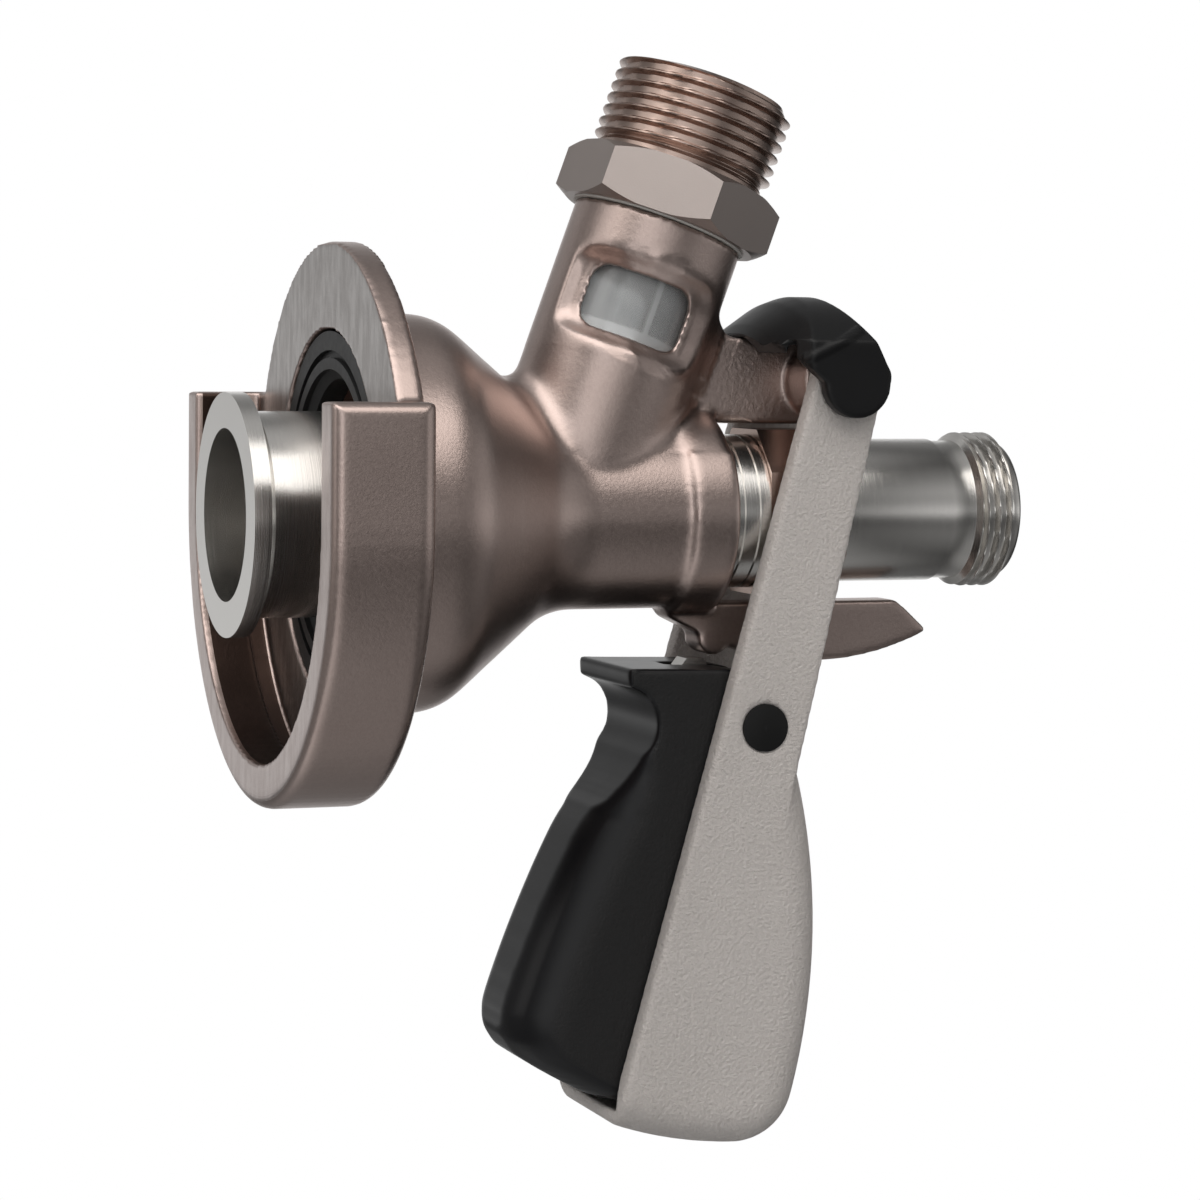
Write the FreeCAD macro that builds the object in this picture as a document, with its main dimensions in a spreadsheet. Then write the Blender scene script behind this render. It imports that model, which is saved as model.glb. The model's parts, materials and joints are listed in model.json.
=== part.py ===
import FreeCAD, Part
import math
import os
import Sketcher

os.makedirs("parts", exist_ok=True)
doc = FreeCAD.newDocument("keg_coupler")

# Frame: Z runs up the probe, away from the keg, and the flat keg face is at Z = 0.
# The handle hangs towards +X, the gas port and the hinge are on the -X side.
SIZES = {
    # Keg face: half a round disc, and a U-shaped rim that hooks under the flange of the keg
    "disc_radius": 38.2,
    "disc_thickness": 4.0,
    "rim_radius": 41.0,
    "rim_lip_radius": 34.8,
    "rim_groove_radius": 37.2,
    "rim_groove_depth": 3.4,
    "rim_depth": 10.8,
    "rim_leg": 16.5,
    "rim_edge_round": 2.2,
    "disc_edge_round": 1.2,
    # Bell, neck and collar
    "shoulder_radius": 28.3,
    "cone_angle": 39.5,
    "cone_radius": 24.0,
    "cone_height": 19.5,
    "shoulder_round": 9.0,
    "throat_round": 12.0,
    "neck_radius": 14.0,
    "collar_radius": 14.9,
    "collar_height": 57.1,
    "collar_length": 6.9,
    "collar_round": 0.8,
    "neck_groove_width": 0.9,
    "neck_groove_depth": 0.5,
    "bell_wall": 3.6,
    "chamber_radius": 22.7,
    "neck_chamber_radius": 12.2,
    "neck_chamber_top": 43.0,
    "gland_bore_radius": 12.9,
    # Keg seal in the face
    "seal_seat_radius": 26.0,
    "seal_seat_depth": 5.4,
    "seal_bore_radius": 19.0,
    "seal_ring_radius": 25.7,
    "seal_ridge": 0.8,
    # Gas port, leaning back from -X towards +Z
    "port_root_height": 34.4,
    "port_tilt": 20.0,
    "port_tube_radius": 12.45,
    "port_tube_length": 43.6,
    "port_bore_radius": 6.5,
    "port_fillet": 3.0,
    "window_centre": 30.5,
    "window_width": 14.5,
    "window_length": 9.0,
    "window_corner": 2.2,
    "window_land": 2.0,
    "window_flat": 11.3,
    "glass_radius": 9.2,
    "glass_wall": 1.5,
    "glass_start": 21.0,
    "glass_end": 39.0,
    "glass_seal_section": 1.4,
    "stem_radius": 10.0,
    "washer_thickness": 0.6,
    "hex_across_flats": 28.0,
    "hex_length": 8.0,
    "hex_turn": 5.0,
    "hex_chamfer_radius": 15.0,
    "hex_chamfer_height": 1.5,
    "port_thread_radius": 13.2205,
    "port_thread_length": 13.2,
    "port_thread_chamfer": 1.2,
    "port_passage_radius": 8.5,
    # Non-return valve in the port
    "valve_radius": 8.3,
    "valve_flange": 1.6,
    "valve_length": 9.0,
    "valve_tip_thickness": 2.0,
    "valve_wall": 1.2,
    "valve_ring_length": 2.4,
    # Probe and product outlet
    "probe_flange_radius": 17.1,
    "probe_flange_thickness": 2.4,
    "probe_front": 14.6,
    "probe_groove_width": 1.2,
    "probe_groove_depth": 1.3,
    "probe_tube_radius": 14.45,
    "probe_tube_top": 7.0,
    "probe_bore_radius": 12.1,
    "probe_taper": 3.0,
    "shaft_radius": 10.9,
    "shaft_bore_radius": 8.0,
    "band_radius": 11.2,
    "band_start": 59.1,
    "band_length": 2.0,
    "band_short": 1.4,
    "band_groove": 0.35,
    "yoke_height": 69.0,
    "yoke_length": 11.8,
    "yoke_width": 21.6,
    "yoke_depth": 24.0,
    "yoke_edge": 1.5,
    "spigot_radius": 9.3,
    "outlet_radius": 10.5,
    "outlet_step_height": 92.0,
    "outlet_step_radius": 10.2,
    "outlet_flare_height": 94.9,
    "outlet_thread_radius": 11.4555,
    "outlet_thread_start": 96.6,
    "outlet_thread_end": 101.5,
    "outlet_nose_radius": 10.6,
    "outlet_end": 103.5,
    "outlet_nose_round": 0.9,
    "probe_stroke": 16.0,
    "running_clearance": 0.05,
    "free_clearance": 0.3,
    # Neck gland
    "gland_length": 11.5,
    "o_ring_section": 1.3,
    "o_ring_pitch": 5.6,
    "circlip_thickness": 1.0,
    "circlip_bite": 0.5,
    # Hinge
    "hinge_reach": 19.0,
    "hinge_height": 73.5,
    "hinge_pin_radius": 3.0,
    "ear_radius": 6.2,
    "ear_thickness": 7.0,
    "ear_boss_radius": 5.5,
    "ear_boss_fillet": 1.2,
    "ear_start": 52.0,
    # Latch bar below the collar
    "latch_thickness": 6.4,
    "latch_radius": 41.0,
    "latch_inner": 13.2,
    "latch_root": 50.6,
    "latch_tip": 91.6,
    "latch_inner_end": 86.4,
    "latch_lobe_radius": 2.5,
    "latch_lobe_reach": 18.3,
    "latch_lobe_height": 57.6,
    # Handle
    "handle_gap": 22.8,
    "arm_thickness": 3.6,
    "eye_radius": 5.3,
    "bush_radius": 4.2,
    "bush_flange_radius": 4.9,
    "bush_flange": 0.4,
    "handle_front_slope": 15.6,
    "handle_back_slope": 13.0,
    "grip_start": 34.0,
    "grip_back_radius": 92.0,
    "grip_end": 84.0,
    "grip_corner_radius": 9.0,
    "grip_wall": 3.0,
    "grip_edge_round": 5.5,
    "cup_lip": 39.5,
    "trunnion_radius": 2.5,
    "trunnion_reach": 2.2,
    "trunnion_clearance": 0.6,
    # Trigger and its pin
    "trigger_pin_reach": 30.3,
    "trigger_pin_height": 60.9,
    "trigger_pin_radius": 2.0,
    "plug_radius": 3.4,
    "plug_depth": 1.2,
    "plug_dome": 0.3,
    "trigger_width": 22.0,
    "trigger_wall": 2.2,
    "trigger_arc_radius": 57.8,
    "cup_clearance": 0.7,
    "cup_wall": 2.0,
    "cup_front": 81.0,
    "trigger_top": 21.8,
    "trigger_beak": 42.9,
    "pawl_thickness": 4.0,
    "pawl_gap": 0.5,
    "spring_coil_radius": 2.9,
    "spring_wire_radius": 0.45,
    # Hinge cap
    "cap_disc_radius": 5.1,
    "cap_disc_thickness": 2.6,
    "cap_wall": 1.8,
    "cap_pin_grip": 1.0,
    "cap_arch_drop": 6.9,
    "cap_crown": 31.3,
}


class Size:
    """A length or angle: its value now, and the expression that keeps a feature tied to the sheet."""

    def __init__(self, text, value):
        self.text = text
        self.value = value

    def join(self, sign, other, value):
        return Size("(%s %s %s)" % (self.text, sign, other.text), value)

    def __add__(self, other):
        other = as_size(other)
        return self.join("+", other, self.value + other.value)

    def __radd__(self, other):
        return as_size(other) + self

    def __sub__(self, other):
        other = as_size(other)
        return self.join("-", other, self.value - other.value)

    def __rsub__(self, other):
        return as_size(other) - self

    def __mul__(self, other):
        other = as_size(other)
        return self.join("*", other, self.value * other.value)

    def __rmul__(self, other):
        return as_size(other) * self

    def __truediv__(self, other):
        other = as_size(other)
        return self.join("/", other, self.value / other.value)

    def __neg__(self):
        return 0 - self


def as_size(number):
    if isinstance(number, Size):
        return number
    return Size("(%.6f)" % number, number)


def sine(angle):
    return Size("sin(%s)" % angle.text, math.sin(math.radians(angle.value)))


def cosine(angle):
    return Size("cos(%s)" % angle.text, math.cos(math.radians(angle.value)))


def tangent(angle):
    return Size("tan(%s)" % angle.text, math.tan(math.radians(angle.value)))


def arctangent(ratio):
    return Size("atan(%s)" % ratio.text, math.degrees(math.atan(ratio.value)))


def root(square):
    return Size("sqrt(%s)" % square.text, math.sqrt(square.value))


class Sheet:
    """The driving sizes, one cell each, read back as Size values by name."""

    def __init__(self, sizes):
        self.cells = doc.addObject("Spreadsheet::Sheet", "Sizes")
        for row, (name, value) in enumerate(sizes.items(), start=1):
            self.cells.set("A%d" % row, name)
            self.cells.set("B%d" % row, str(value))
            self.cells.setAlias("B%d" % row, name)
        doc.recompute()

    def __getattr__(self, name):
        return Size("Sizes." + name, float(self.cells.get(name)))


s = Sheet(SIZES)


# Small tools for sketches and features
def bind(target, field, size):
    if isinstance(size, Size):
        target.setExpression(field, size.text)
    else:
        target.setExpression(field, as_size(size).text)


def new_body(name):
    body = doc.addObject("PartDesign::Body", name)
    body.Label = name
    return body


def sketch_on(body, role, name, offset=None):
    """A sketch on one of the body's own planes; offset maps a field of the offset to a size."""
    plane = [feature for feature in body.Origin.OriginFeatures if feature.Role == role][0]
    sketch = body.newObject("Sketcher::SketchObject", "%s_%s" % (body.Name, name))
    sketch.AttachmentSupport = (plane, [""])
    sketch.MapMode = "FlatFace"
    for field, size in (offset or {}).items():
        bind(sketch, "AttachmentOffset." + field, size)
    return sketch


def hold(sketch, kind, *where):
    """Adds a dimension whose last item is its size, and ties it to the sheet."""
    size = as_size(where[-1])
    index = sketch.addConstraint(Sketcher.Constraint(kind, *where[:-1], size.value))
    if "Sizes." in size.text:
        sketch.setExpression("Constraints[%d]" % index, size.text)


def bend(sketch, start, end, radius):
    """The shorter arc between two points: its centre lies to the left if the radius is positive."""
    size = as_size(radius)
    reach = abs(size.value)
    chord = end - start
    rise = math.sqrt(max(reach ** 2 - (chord.Length / 2) ** 2, 0))
    side = 1 if size.value > 0 else -1
    left = FreeCAD.Vector(-chord.y, chord.x, 0).normalize()
    centre = (start + end) / 2 + left * (rise * side)
    first, last = (start, end) if size.value > 0 else (end, start)
    angles = [math.atan2(point.y - centre.y, point.x - centre.x) for point in (first, last)]
    if angles[1] < angles[0]:
        angles[1] += 2 * math.pi
    circle = Part.Circle(centre, FreeCAD.Vector(0, 0, 1), reach)
    arc = sketch.addGeometry(Part.ArcOfCircle(circle, *angles))
    hold(sketch, "Radius", arc, size if side > 0 else -size)
    return (arc, 1, 2) if side > 0 else (arc, 2, 1)


def outline(sketch, corners):
    """A closed outline; a third item of a corner is the radius of the arc that leaves it."""
    points = [FreeCAD.Vector(as_size(c[0]).value, as_size(c[1]).value, 0) for c in corners]
    edges = []
    for index, corner in enumerate(corners):
        start = points[index]
        end = points[(index + 1) % len(points)]
        if len(corner) == 3:
            edges.append(bend(sketch, start, end, corner[2]))
        else:
            edges.append((sketch.addGeometry(Part.LineSegment(start, end)), 1, 2))
    for index, edge in enumerate(edges):
        following = edges[(index + 1) % len(edges)]
        sketch.addConstraint(Sketcher.Constraint("Coincident", edge[0], edge[2], following[0], following[1]))
    for edge, corner in zip(edges, corners):
        hold(sketch, "DistanceX", -1, 1, edge[0], edge[1], corner[0])
        hold(sketch, "DistanceY", -1, 1, edge[0], edge[1], corner[1])


def ring(sketch, x, y, radius):
    """A circle about a point."""
    centre = FreeCAD.Vector(as_size(x).value, as_size(y).value, 0)
    circle = sketch.addGeometry(Part.Circle(centre, FreeCAD.Vector(0, 0, 1), as_size(radius).value))
    hold(sketch, "DistanceX", -1, 1, circle, 3, x)
    hold(sketch, "DistanceY", -1, 1, circle, 3, y)
    hold(sketch, "Radius", circle, radius)


def finish_feature(body, feature):
    body.Tip = feature
    doc.recompute()
    return feature


def revolve(body, sketch, cut=False, angle=360):
    kind = "PartDesign::Groove" if cut else "PartDesign::Revolution"
    feature = body.newObject(kind, sketch.Name + "_turned")
    feature.Profile = sketch
    feature.ReferenceAxis = (sketch, ["V_Axis"])
    feature.Angle = angle
    sketch.Visibility = False
    return finish_feature(body, feature)


def extrude(body, sketch, length, cut=False, middle=True, turned=False):
    """A pad or a pocket; in the middle it reaches to both sides of the sketch alike."""
    kind = "PartDesign::Pocket" if cut else "PartDesign::Pad"
    feature = body.newObject(kind, sketch.Name + "_run")
    feature.Profile = sketch
    bind(feature, "Length", length)
    feature.Midplane = middle
    feature.Reversed = turned
    sketch.Visibility = False
    return finish_feature(body, feature)


def edges_where(feature, test):
    """The names of the edges whose middle point passes the test."""
    names = []
    for index, edge in enumerate(feature.Shape.Edges, start=1):
        middle = edge.valueAt((edge.FirstParameter + edge.LastParameter) / 2)
        if test(edge, middle):
            names.append("Edge%d" % index)
    return names


def soften(body, test, radius, kind="Fillet"):
    """Fillets or chamfers the edges that pass the test."""
    base = body.Tip
    names = edges_where(base, test)
    feature = body.newObject("PartDesign::" + kind, body.Name + "_softened")
    feature.Base = (base, names)
    bind(feature, "Radius" if kind == "Fillet" else "Size", radius)
    return finish_feature(body, feature)


def turned_body(name, corners, angle=360):
    """A body turned about its own Z axis from one outline of radius and height."""
    body = new_body(name)
    sketch = sketch_on(body, "XZ_Plane", "section")
    outline(sketch, corners)
    revolve(body, sketch, angle=angle)
    return body


def tube(name, inner, outer, start, length):
    """A plain ring or sleeve about its own Z axis."""
    full = doc.addObject("Part::Cylinder", name + "_outside")
    bind(full, "Radius", outer)
    bind(full, "Height", length)
    bore = doc.addObject("Part::Cylinder", name + "_bore")
    bind(bore, "Radius", inner)
    bind(bore, "Height", length)
    for cylinder in (full, bore):
        bind(cylinder, "Placement.Base.z", start)
    ring_shape = doc.addObject("Part::Cut", name)
    ring_shape.Base = full
    ring_shape.Tool = bore
    return ring_shape


def on_port(body):
    """Stands a body on the root of the port, with its Z axis out along the port."""
    body.Placement = FreeCAD.Placement(
        FreeCAD.Vector(0, 0, 1), FreeCAD.Rotation(FreeCAD.Vector(0, 1, 0), -70)
    )
    bind(body, "Placement.Base.z", s.port_root_height)
    bind(body, "Placement.Rotation.Angle", s.port_tilt - 90)


def across(body, x, z):
    """Lays a body with its Z axis along Y, through a point of the middle plane."""
    body.Placement = FreeCAD.Placement(
        FreeCAD.Vector(1, 0, 1), FreeCAD.Rotation(FreeCAD.Vector(1, 0, 0), -90)
    )
    bind(body, "Placement.Base.x", x)
    bind(body, "Placement.Base.z", z)


def torus(name, major, minor, height):
    """A round seal about its own Z axis."""
    shape = doc.addObject("Part::Torus", name)
    bind(shape, "Radius1", major)
    bind(shape, "Radius2", minor)
    bind(shape, "Placement.Base.z", height)
    return shape


def together(name, shapes):
    """Several like pieces under one name."""
    group = doc.addObject("Part::Compound", name)
    group.Links = shapes
    group.Label = name
    return group


# Places that several pieces share
hinge_x = -s.hinge_reach
cone_run = tangent(s.cone_angle)
glass_bore = s.glass_radius + s.running_clearance
port_frame = {"Base.y": s.port_root_height, "Rotation.Angle": 90 - s.port_tilt}
hex_start = s.port_tube_length + s.washer_thickness
port_end = hex_start + s.hex_length + s.port_thread_length
handle_half = s.handle_gap / 2 + s.arm_thickness
shaft_hole = s.shaft_radius + s.running_clearance
clip_start = s.collar_height - s.circlip_bite - s.circlip_thickness
gland_start = clip_start - s.gland_length
clip_groove_radius = s.gland_bore_radius + s.circlip_bite
cap_gap = s.free_clearance


def cone_height_at(radius):
    return s.cone_height + (s.cone_radius - radius) / cone_run


def body_casting():
    body = new_body("body_casting")

    # Disc, shoulder, cone and neck turned in one
    arc_drop = 1 - cosine(s.cone_angle)
    cone_top = s.shoulder_radius - s.shoulder_round * arc_drop
    throat = s.neck_radius + s.throat_round * arc_drop
    bell = sketch_on(body, "XZ_Plane", "bell")
    outline(bell, [
        (0, 0),
        (s.disc_radius, 0),
        (s.disc_radius, s.disc_thickness),
        (s.shoulder_radius, s.disc_thickness),
        (s.shoulder_radius, cone_height_at(cone_top) - s.shoulder_round * sine(s.cone_angle),
         s.shoulder_round),
        (cone_top, cone_height_at(cone_top)),
        (throat, cone_height_at(throat), -s.throat_round),
        (s.neck_radius, cone_height_at(throat) + s.throat_round * sine(s.cone_angle)),
        (s.neck_radius, s.collar_height - s.collar_round),
        (0, s.collar_height - s.collar_round),
    ])
    revolve(body, bell)

    # Port tube along its leaning axis
    tube = sketch_on(body, "XZ_Plane", "port_tube", port_frame)
    outline(tube, [(0, 0), (s.port_tube_radius, 0), (s.port_tube_radius, s.port_tube_length),
                   (0, s.port_tube_length)])
    revolve(body, tube)

    # Hinge ear, from the port tube and the collar to the hinge
    ear = sketch_on(body, "XZ_Plane", "ear")
    outline(ear, [
        (hinge_x - s.ear_radius, s.ear_start),
        (hinge_x + s.ear_radius, s.ear_start),
        (hinge_x + s.ear_radius, s.hinge_height),
        (hinge_x - s.ear_radius, s.hinge_height),
    ])
    extrude(body, ear, s.ear_thickness)
    ear_end = sketch_on(body, "XZ_Plane", "ear_end")
    ring(ear_end, hinge_x, s.hinge_height, s.ear_radius)
    extrude(body, ear_end, s.ear_thickness)

    def joins_port(edge, middle):
        lift = middle.z - s.port_root_height.value
        tilt = math.radians(s.port_tilt.value)
        along = -middle.x * math.cos(tilt) + lift * math.sin(tilt)
        off = math.hypot(middle.x * math.sin(tilt) + lift * math.cos(tilt), middle.y)
        return abs(off - s.port_tube_radius.value) < 0.05 and along < s.port_tube_length.value - 1

    soften(body, joins_port, s.port_fillet)

    # Collar, with the thin groove below it where the port leaves the neck free
    collar = sketch_on(body, "XZ_Plane", "collar")
    low = s.collar_height - s.collar_length
    outline(collar, [
        (s.neck_radius - 1, low),
        (s.collar_radius, low),
        (s.collar_radius, s.collar_height - s.collar_round, s.collar_round * 1.001),
        (s.collar_radius - s.collar_round, s.collar_height),
        (s.neck_radius - 1, s.collar_height),
    ])
    revolve(body, collar)

    # U rim: a block the shape of a letter D, hollowed by the lip and by the flange groove
    def u_shape(name, radius, leg, start, depth, cut):
        sketch = sketch_on(body, "XY_Plane", name, {"Base.z": start})
        outline(sketch, [(-leg, -radius), (0, -radius, radius * 1.00001), (radius, 0, radius * 1.00001),
                         (0, radius), (-leg, radius)])
        return extrude(body, sketch, depth, cut, middle=False, turned=cut)

    u_shape("rim", s.rim_radius, s.rim_leg, -s.rim_depth, s.rim_depth + s.disc_thickness, False)

    def rim_edges(edge, middle):
        outside = max(math.hypot(max(middle.x, 0), middle.y) - s.rim_radius.value, 0) < 0.05
        at_wall = abs(math.hypot(max(middle.x, 0), middle.y) - s.rim_radius.value) < 0.05
        at_face = abs(middle.z + s.rim_depth.value) < 0.05 or abs(middle.z - s.disc_thickness.value) < 0.05
        return outside and at_wall and at_face and middle.x > -s.rim_leg.value + 0.1

    soften(body, rim_edges, s.rim_edge_round)
    u_shape("lip", s.rim_lip_radius, s.rim_leg + 40, -s.rim_depth, s.rim_depth, True)
    u_shape("flange_groove", s.rim_groove_radius, s.rim_leg + 40, -s.rim_groove_depth,
            s.rim_groove_depth, True)

    # Bosses on both sides of the ear, and the bore for the hinge pin
    boss = sketch_on(body, "XZ_Plane", "ear_boss")
    ring(boss, hinge_x, s.hinge_height, s.ear_boss_radius)
    extrude(body, boss, s.handle_gap - 2 * (s.bush_flange + 2 * s.running_clearance))
    pin_bore = sketch_on(body, "XZ_Plane", "pin_bore")
    ring(pin_bore, hinge_x, s.hinge_height, s.hinge_pin_radius + s.running_clearance)
    extrude(body, pin_bore, s.handle_gap + s.arm_thickness, cut=True)

    # Latch bar: a flat bar with its outer edge round about the hinge, and a lobe at its root
    latch = sketch_on(body, "XZ_Plane", "latch_bar")

    def latch_edge(z):
        rise = z - s.hinge_height
        return hinge_x + root(s.latch_radius * s.latch_radius - rise * rise)

    outline(latch, [
        (s.gland_bore_radius + 0.6, s.latch_root),
        (s.collar_radius + 0.4, s.latch_root),
        (s.latch_lobe_reach - 0.6, s.latch_lobe_height - 2),
        (latch_edge(s.latch_lobe_height + 2.6), s.latch_lobe_height + 2.6, s.latch_radius),
        (latch_edge(s.latch_tip), s.latch_tip),
        (s.latch_inner, s.latch_inner_end),
        (s.latch_inner, s.collar_height),
        (s.gland_bore_radius + 0.6, s.collar_height - 0.5),
    ])
    extrude(body, latch, s.latch_thickness)
    lobe = sketch_on(body, "XZ_Plane", "latch_lobe")
    ring(lobe, s.latch_lobe_reach, s.latch_lobe_height, s.latch_lobe_radius)
    extrude(body, lobe, s.latch_thickness)

    # Chamber inside the bell, the neck and the gland seat
    chamber = sketch_on(body, "XZ_Plane", "chamber")
    thickness = s.bell_wall / cosine(s.cone_angle)
    outline(chamber, [
        (0, -1),
        (s.seal_seat_radius, -1),
        (s.seal_seat_radius, s.seal_seat_depth),
        (s.chamber_radius, s.seal_seat_depth),
        (s.chamber_radius, cone_height_at(s.chamber_radius + thickness)),
        (s.neck_chamber_radius, cone_height_at(s.neck_chamber_radius + thickness)),
        (s.neck_chamber_radius, s.neck_chamber_top),
        (shaft_hole + s.free_clearance, s.neck_chamber_top),
        (shaft_hole + s.free_clearance, gland_start),
        (s.gland_bore_radius, gland_start),
        (s.gland_bore_radius, clip_start),
        (clip_groove_radius, clip_start),
        (clip_groove_radius, clip_start + s.circlip_thickness),
        (s.gland_bore_radius, clip_start + s.circlip_thickness),
        (s.gland_bore_radius, s.collar_height + 1),
        (0, s.collar_height + 1),
    ])
    revolve(body, chamber, cut=True)

    # Port bore: the gas way, the seat of the sight glass and the thread for the nipple
    bore = sketch_on(body, "XZ_Plane", "port_bore", port_frame)
    outline(bore, [
        (0, s.shaft_radius),
        (s.port_bore_radius, s.shaft_radius),
        (s.port_bore_radius, s.glass_start - 2),
        (glass_bore, s.glass_start - 2),
        (glass_bore, s.glass_end + 1),
        (s.stem_radius, s.glass_end + 1),
        (s.stem_radius, s.port_tube_length + 1),
        (0, s.port_tube_length + 1),
    ])
    revolve(body, bore, cut=True)

    # Window through both sides of the port tube, inside a flat land
    def window(name, margin, length):
        sketch = sketch_on(body, "XZ_Plane", name, port_frame)
        half = s.window_width / 2 + margin
        low_end = s.window_centre - s.window_length / 2 - margin
        high_end = s.window_centre + s.window_length / 2 + margin
        turn = s.window_corner
        outline(sketch, [
            (turn - half, low_end), (half - turn, low_end, turn * 1.0001),
            (half, low_end + turn), (half, high_end - turn, turn * 1.0001),
            (half - turn, high_end), (turn - half, high_end, turn * 1.0001),
            (-half, high_end - turn), (-half, low_end + turn, turn * 1.0001),
        ])
        return sketch, length

    through, reach = window("window", as_size(0), 2 * s.port_tube_radius + 2)
    extrude(body, through, reach, cut=True)
    return body


def keg_seal():
    """Soft ring in the keg face, with two ridges that press on the keg."""
    front = s.seal_ridge / 2
    back = s.seal_seat_depth
    step = (s.seal_ring_radius - s.seal_bore_radius) / 5
    low = front + s.seal_ridge
    return turned_body("keg_seal", [
        (s.seal_bore_radius, back),
        (s.seal_bore_radius, low + s.seal_ridge),
        (s.seal_bore_radius + step, low),
        (s.seal_bore_radius + step, front),
        (s.seal_bore_radius + 2.2 * step, front),
        (s.seal_bore_radius + 2.2 * step, low),
        (s.seal_bore_radius + 3 * step, low),
        (s.seal_bore_radius + 3 * step, front),
        (s.seal_ring_radius, front),
        (s.seal_ring_radius, back),
    ])


def gland():
    """Sleeve in the neck with two inner grooves, its two seals, and the clip that holds it in."""
    outer = s.gland_bore_radius - s.running_clearance
    seal_outer = shaft_hole + s.o_ring_section + s.running_clearance
    slot = s.o_ring_section + 4 * s.running_clearance
    middle = gland_start + s.gland_length / 2
    corners = [(outer, gland_start), (outer, gland_start + s.gland_length),
               (shaft_hole, gland_start + s.gland_length)]
    for side in (0.5, -0.5):
        centre = middle + side * s.o_ring_pitch
        corners += [(shaft_hole, centre + slot / 2), (seal_outer, centre + slot / 2),
                    (seal_outer, centre - slot / 2), (shaft_hole, centre - slot / 2)]
    corners.append((shaft_hole, gland_start))
    bush = turned_body("gland_bush", corners)
    seals = [torus("gland_seal_%d" % number, shaft_hole + s.o_ring_section / 2, s.o_ring_section / 2,
                   middle + side * s.o_ring_pitch) for number, side in ((1, -0.5), (2, 0.5))]
    inner = s.band_radius + s.free_clearance
    clip_outer = clip_groove_radius - s.running_clearance
    clip = turned_body("gland_circlip", [
        (inner, clip_start), (clip_outer, clip_start),
        (clip_outer, clip_start + s.circlip_thickness), (inner, clip_start + s.circlip_thickness),
    ], angle=325)
    return [bush, together("gland_o_rings", seals), clip]


def port_nipple():
    """Screwed port end: stem, hexagon with turned corners, and the outside of the male thread."""
    body = new_body("port_nipple")
    seat = hex_start + 2
    stem_radius = s.stem_radius - s.running_clearance
    hex_end = hex_start + s.hex_length
    section = sketch_on(body, "XZ_Plane", "section")
    outline(section, [
        (0, s.glass_end + 1),
        (stem_radius, s.glass_end + 1),
        (stem_radius, hex_start),
        (s.port_thread_radius - 1.2, hex_start),
        (s.port_thread_radius - 1.2, hex_end + 1),
        (s.port_thread_radius, hex_end + 1),
        (s.port_thread_radius, port_end - s.port_thread_chamfer),
        (s.port_thread_radius - s.port_thread_chamfer, port_end),
        (0, port_end),
    ])
    revolve(body, section)
    nut = sketch_on(body, "XY_Plane", "hexagon", {"Base.z": hex_start, "Rotation.Angle": s.hex_turn})
    half = s.hex_across_flats / 2
    corner = half / cosine(as_size(30))
    outline(nut, [(corner * cosine(as_size(60 * turn)), corner * sine(as_size(60 * turn)))
                  for turn in range(6)])
    extrude(body, nut, s.hex_length, middle=False)
    for end, inward, name in ((hex_start, 1, "low"), (hex_end, -1, "high")):
        cut = sketch_on(body, "XZ_Plane", name + "_corner")
        outline(cut, [(s.hex_chamfer_radius, end), (s.hex_chamfer_radius + 4, end),
                      (s.hex_chamfer_radius + 4, end + inward * s.hex_chamfer_height * 2)][::inward])
        revolve(body, cut, cut=True)
    way = sketch_on(body, "XZ_Plane", "way")
    outline(way, [
        (0, s.glass_end),
        (s.port_bore_radius, s.glass_end),
        (s.port_bore_radius, seat),
        (s.port_passage_radius, seat),
        (s.port_passage_radius, port_end + 1),
        (0, port_end + 1),
    ])
    revolve(body, way, cut=True)
    on_port(body)

    # The non-return valve sits on the step of the way, and a ring holds it down
    valve = new_body("check_valve")
    lip = s.port_bore_radius - 0.5
    tip = seat - s.valve_length
    shape = sketch_on(valve, "XZ_Plane", "section")
    outline(shape, [
        (lip - s.valve_wall, seat + s.valve_flange),
        (lip - s.valve_wall, tip + s.valve_wall),
        (s.valve_tip_thickness / 2, tip + s.valve_wall),
        (s.valve_tip_thickness / 2, tip),
        (lip, tip),
        (lip, seat),
        (s.valve_radius, seat),
        (s.valve_radius, seat + s.valve_flange),
    ])
    revolve(valve, shape)
    for side in (1, -1):
        wedge = sketch_on(valve, "XZ_Plane", "wedge_%d" % (side + 2))
        outline(wedge, [(side * (s.valve_tip_thickness / 2 + 0.9), tip - 1), (side * (lip + 1), tip - 1),
                        (side * (lip + 1), seat - 2)][::side])
        extrude(valve, wedge, 2 * lip + 2, cut=True)
    on_port(valve)
    ring_outer = s.port_passage_radius - s.running_clearance
    keeper = tube("valve_ring", s.port_bore_radius, ring_outer, seat + s.valve_flange, s.valve_ring_length)
    keeper.Label = "valve_ring"
    on_port(keeper)
    washer = tube("port_washer", s.stem_radius, s.port_thread_radius, s.port_tube_length,
                  s.washer_thickness)
    washer.Label = "port_washer"
    on_port(washer)
    return [body, valve, keeper, washer]


def sight_glass():
    """Glass sleeve behind the two windows, and a flat seal at each end of it."""
    inner = s.glass_radius - s.glass_wall
    glass = tube("sight_glass", inner, s.glass_radius, s.glass_start, s.glass_end - s.glass_start)
    glass.Label = "sight_glass"
    on_port(glass)
    seals = [
        tube("glass_seal_low", inner - 0.5, s.glass_radius, s.glass_start - 2, as_size(2)),
        tube("glass_seal_high", inner - 0.5, s.glass_radius, s.glass_end, as_size(1)),
    ]
    both = together("glass_seals", seals)
    on_port(both)
    return [glass, both]


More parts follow.
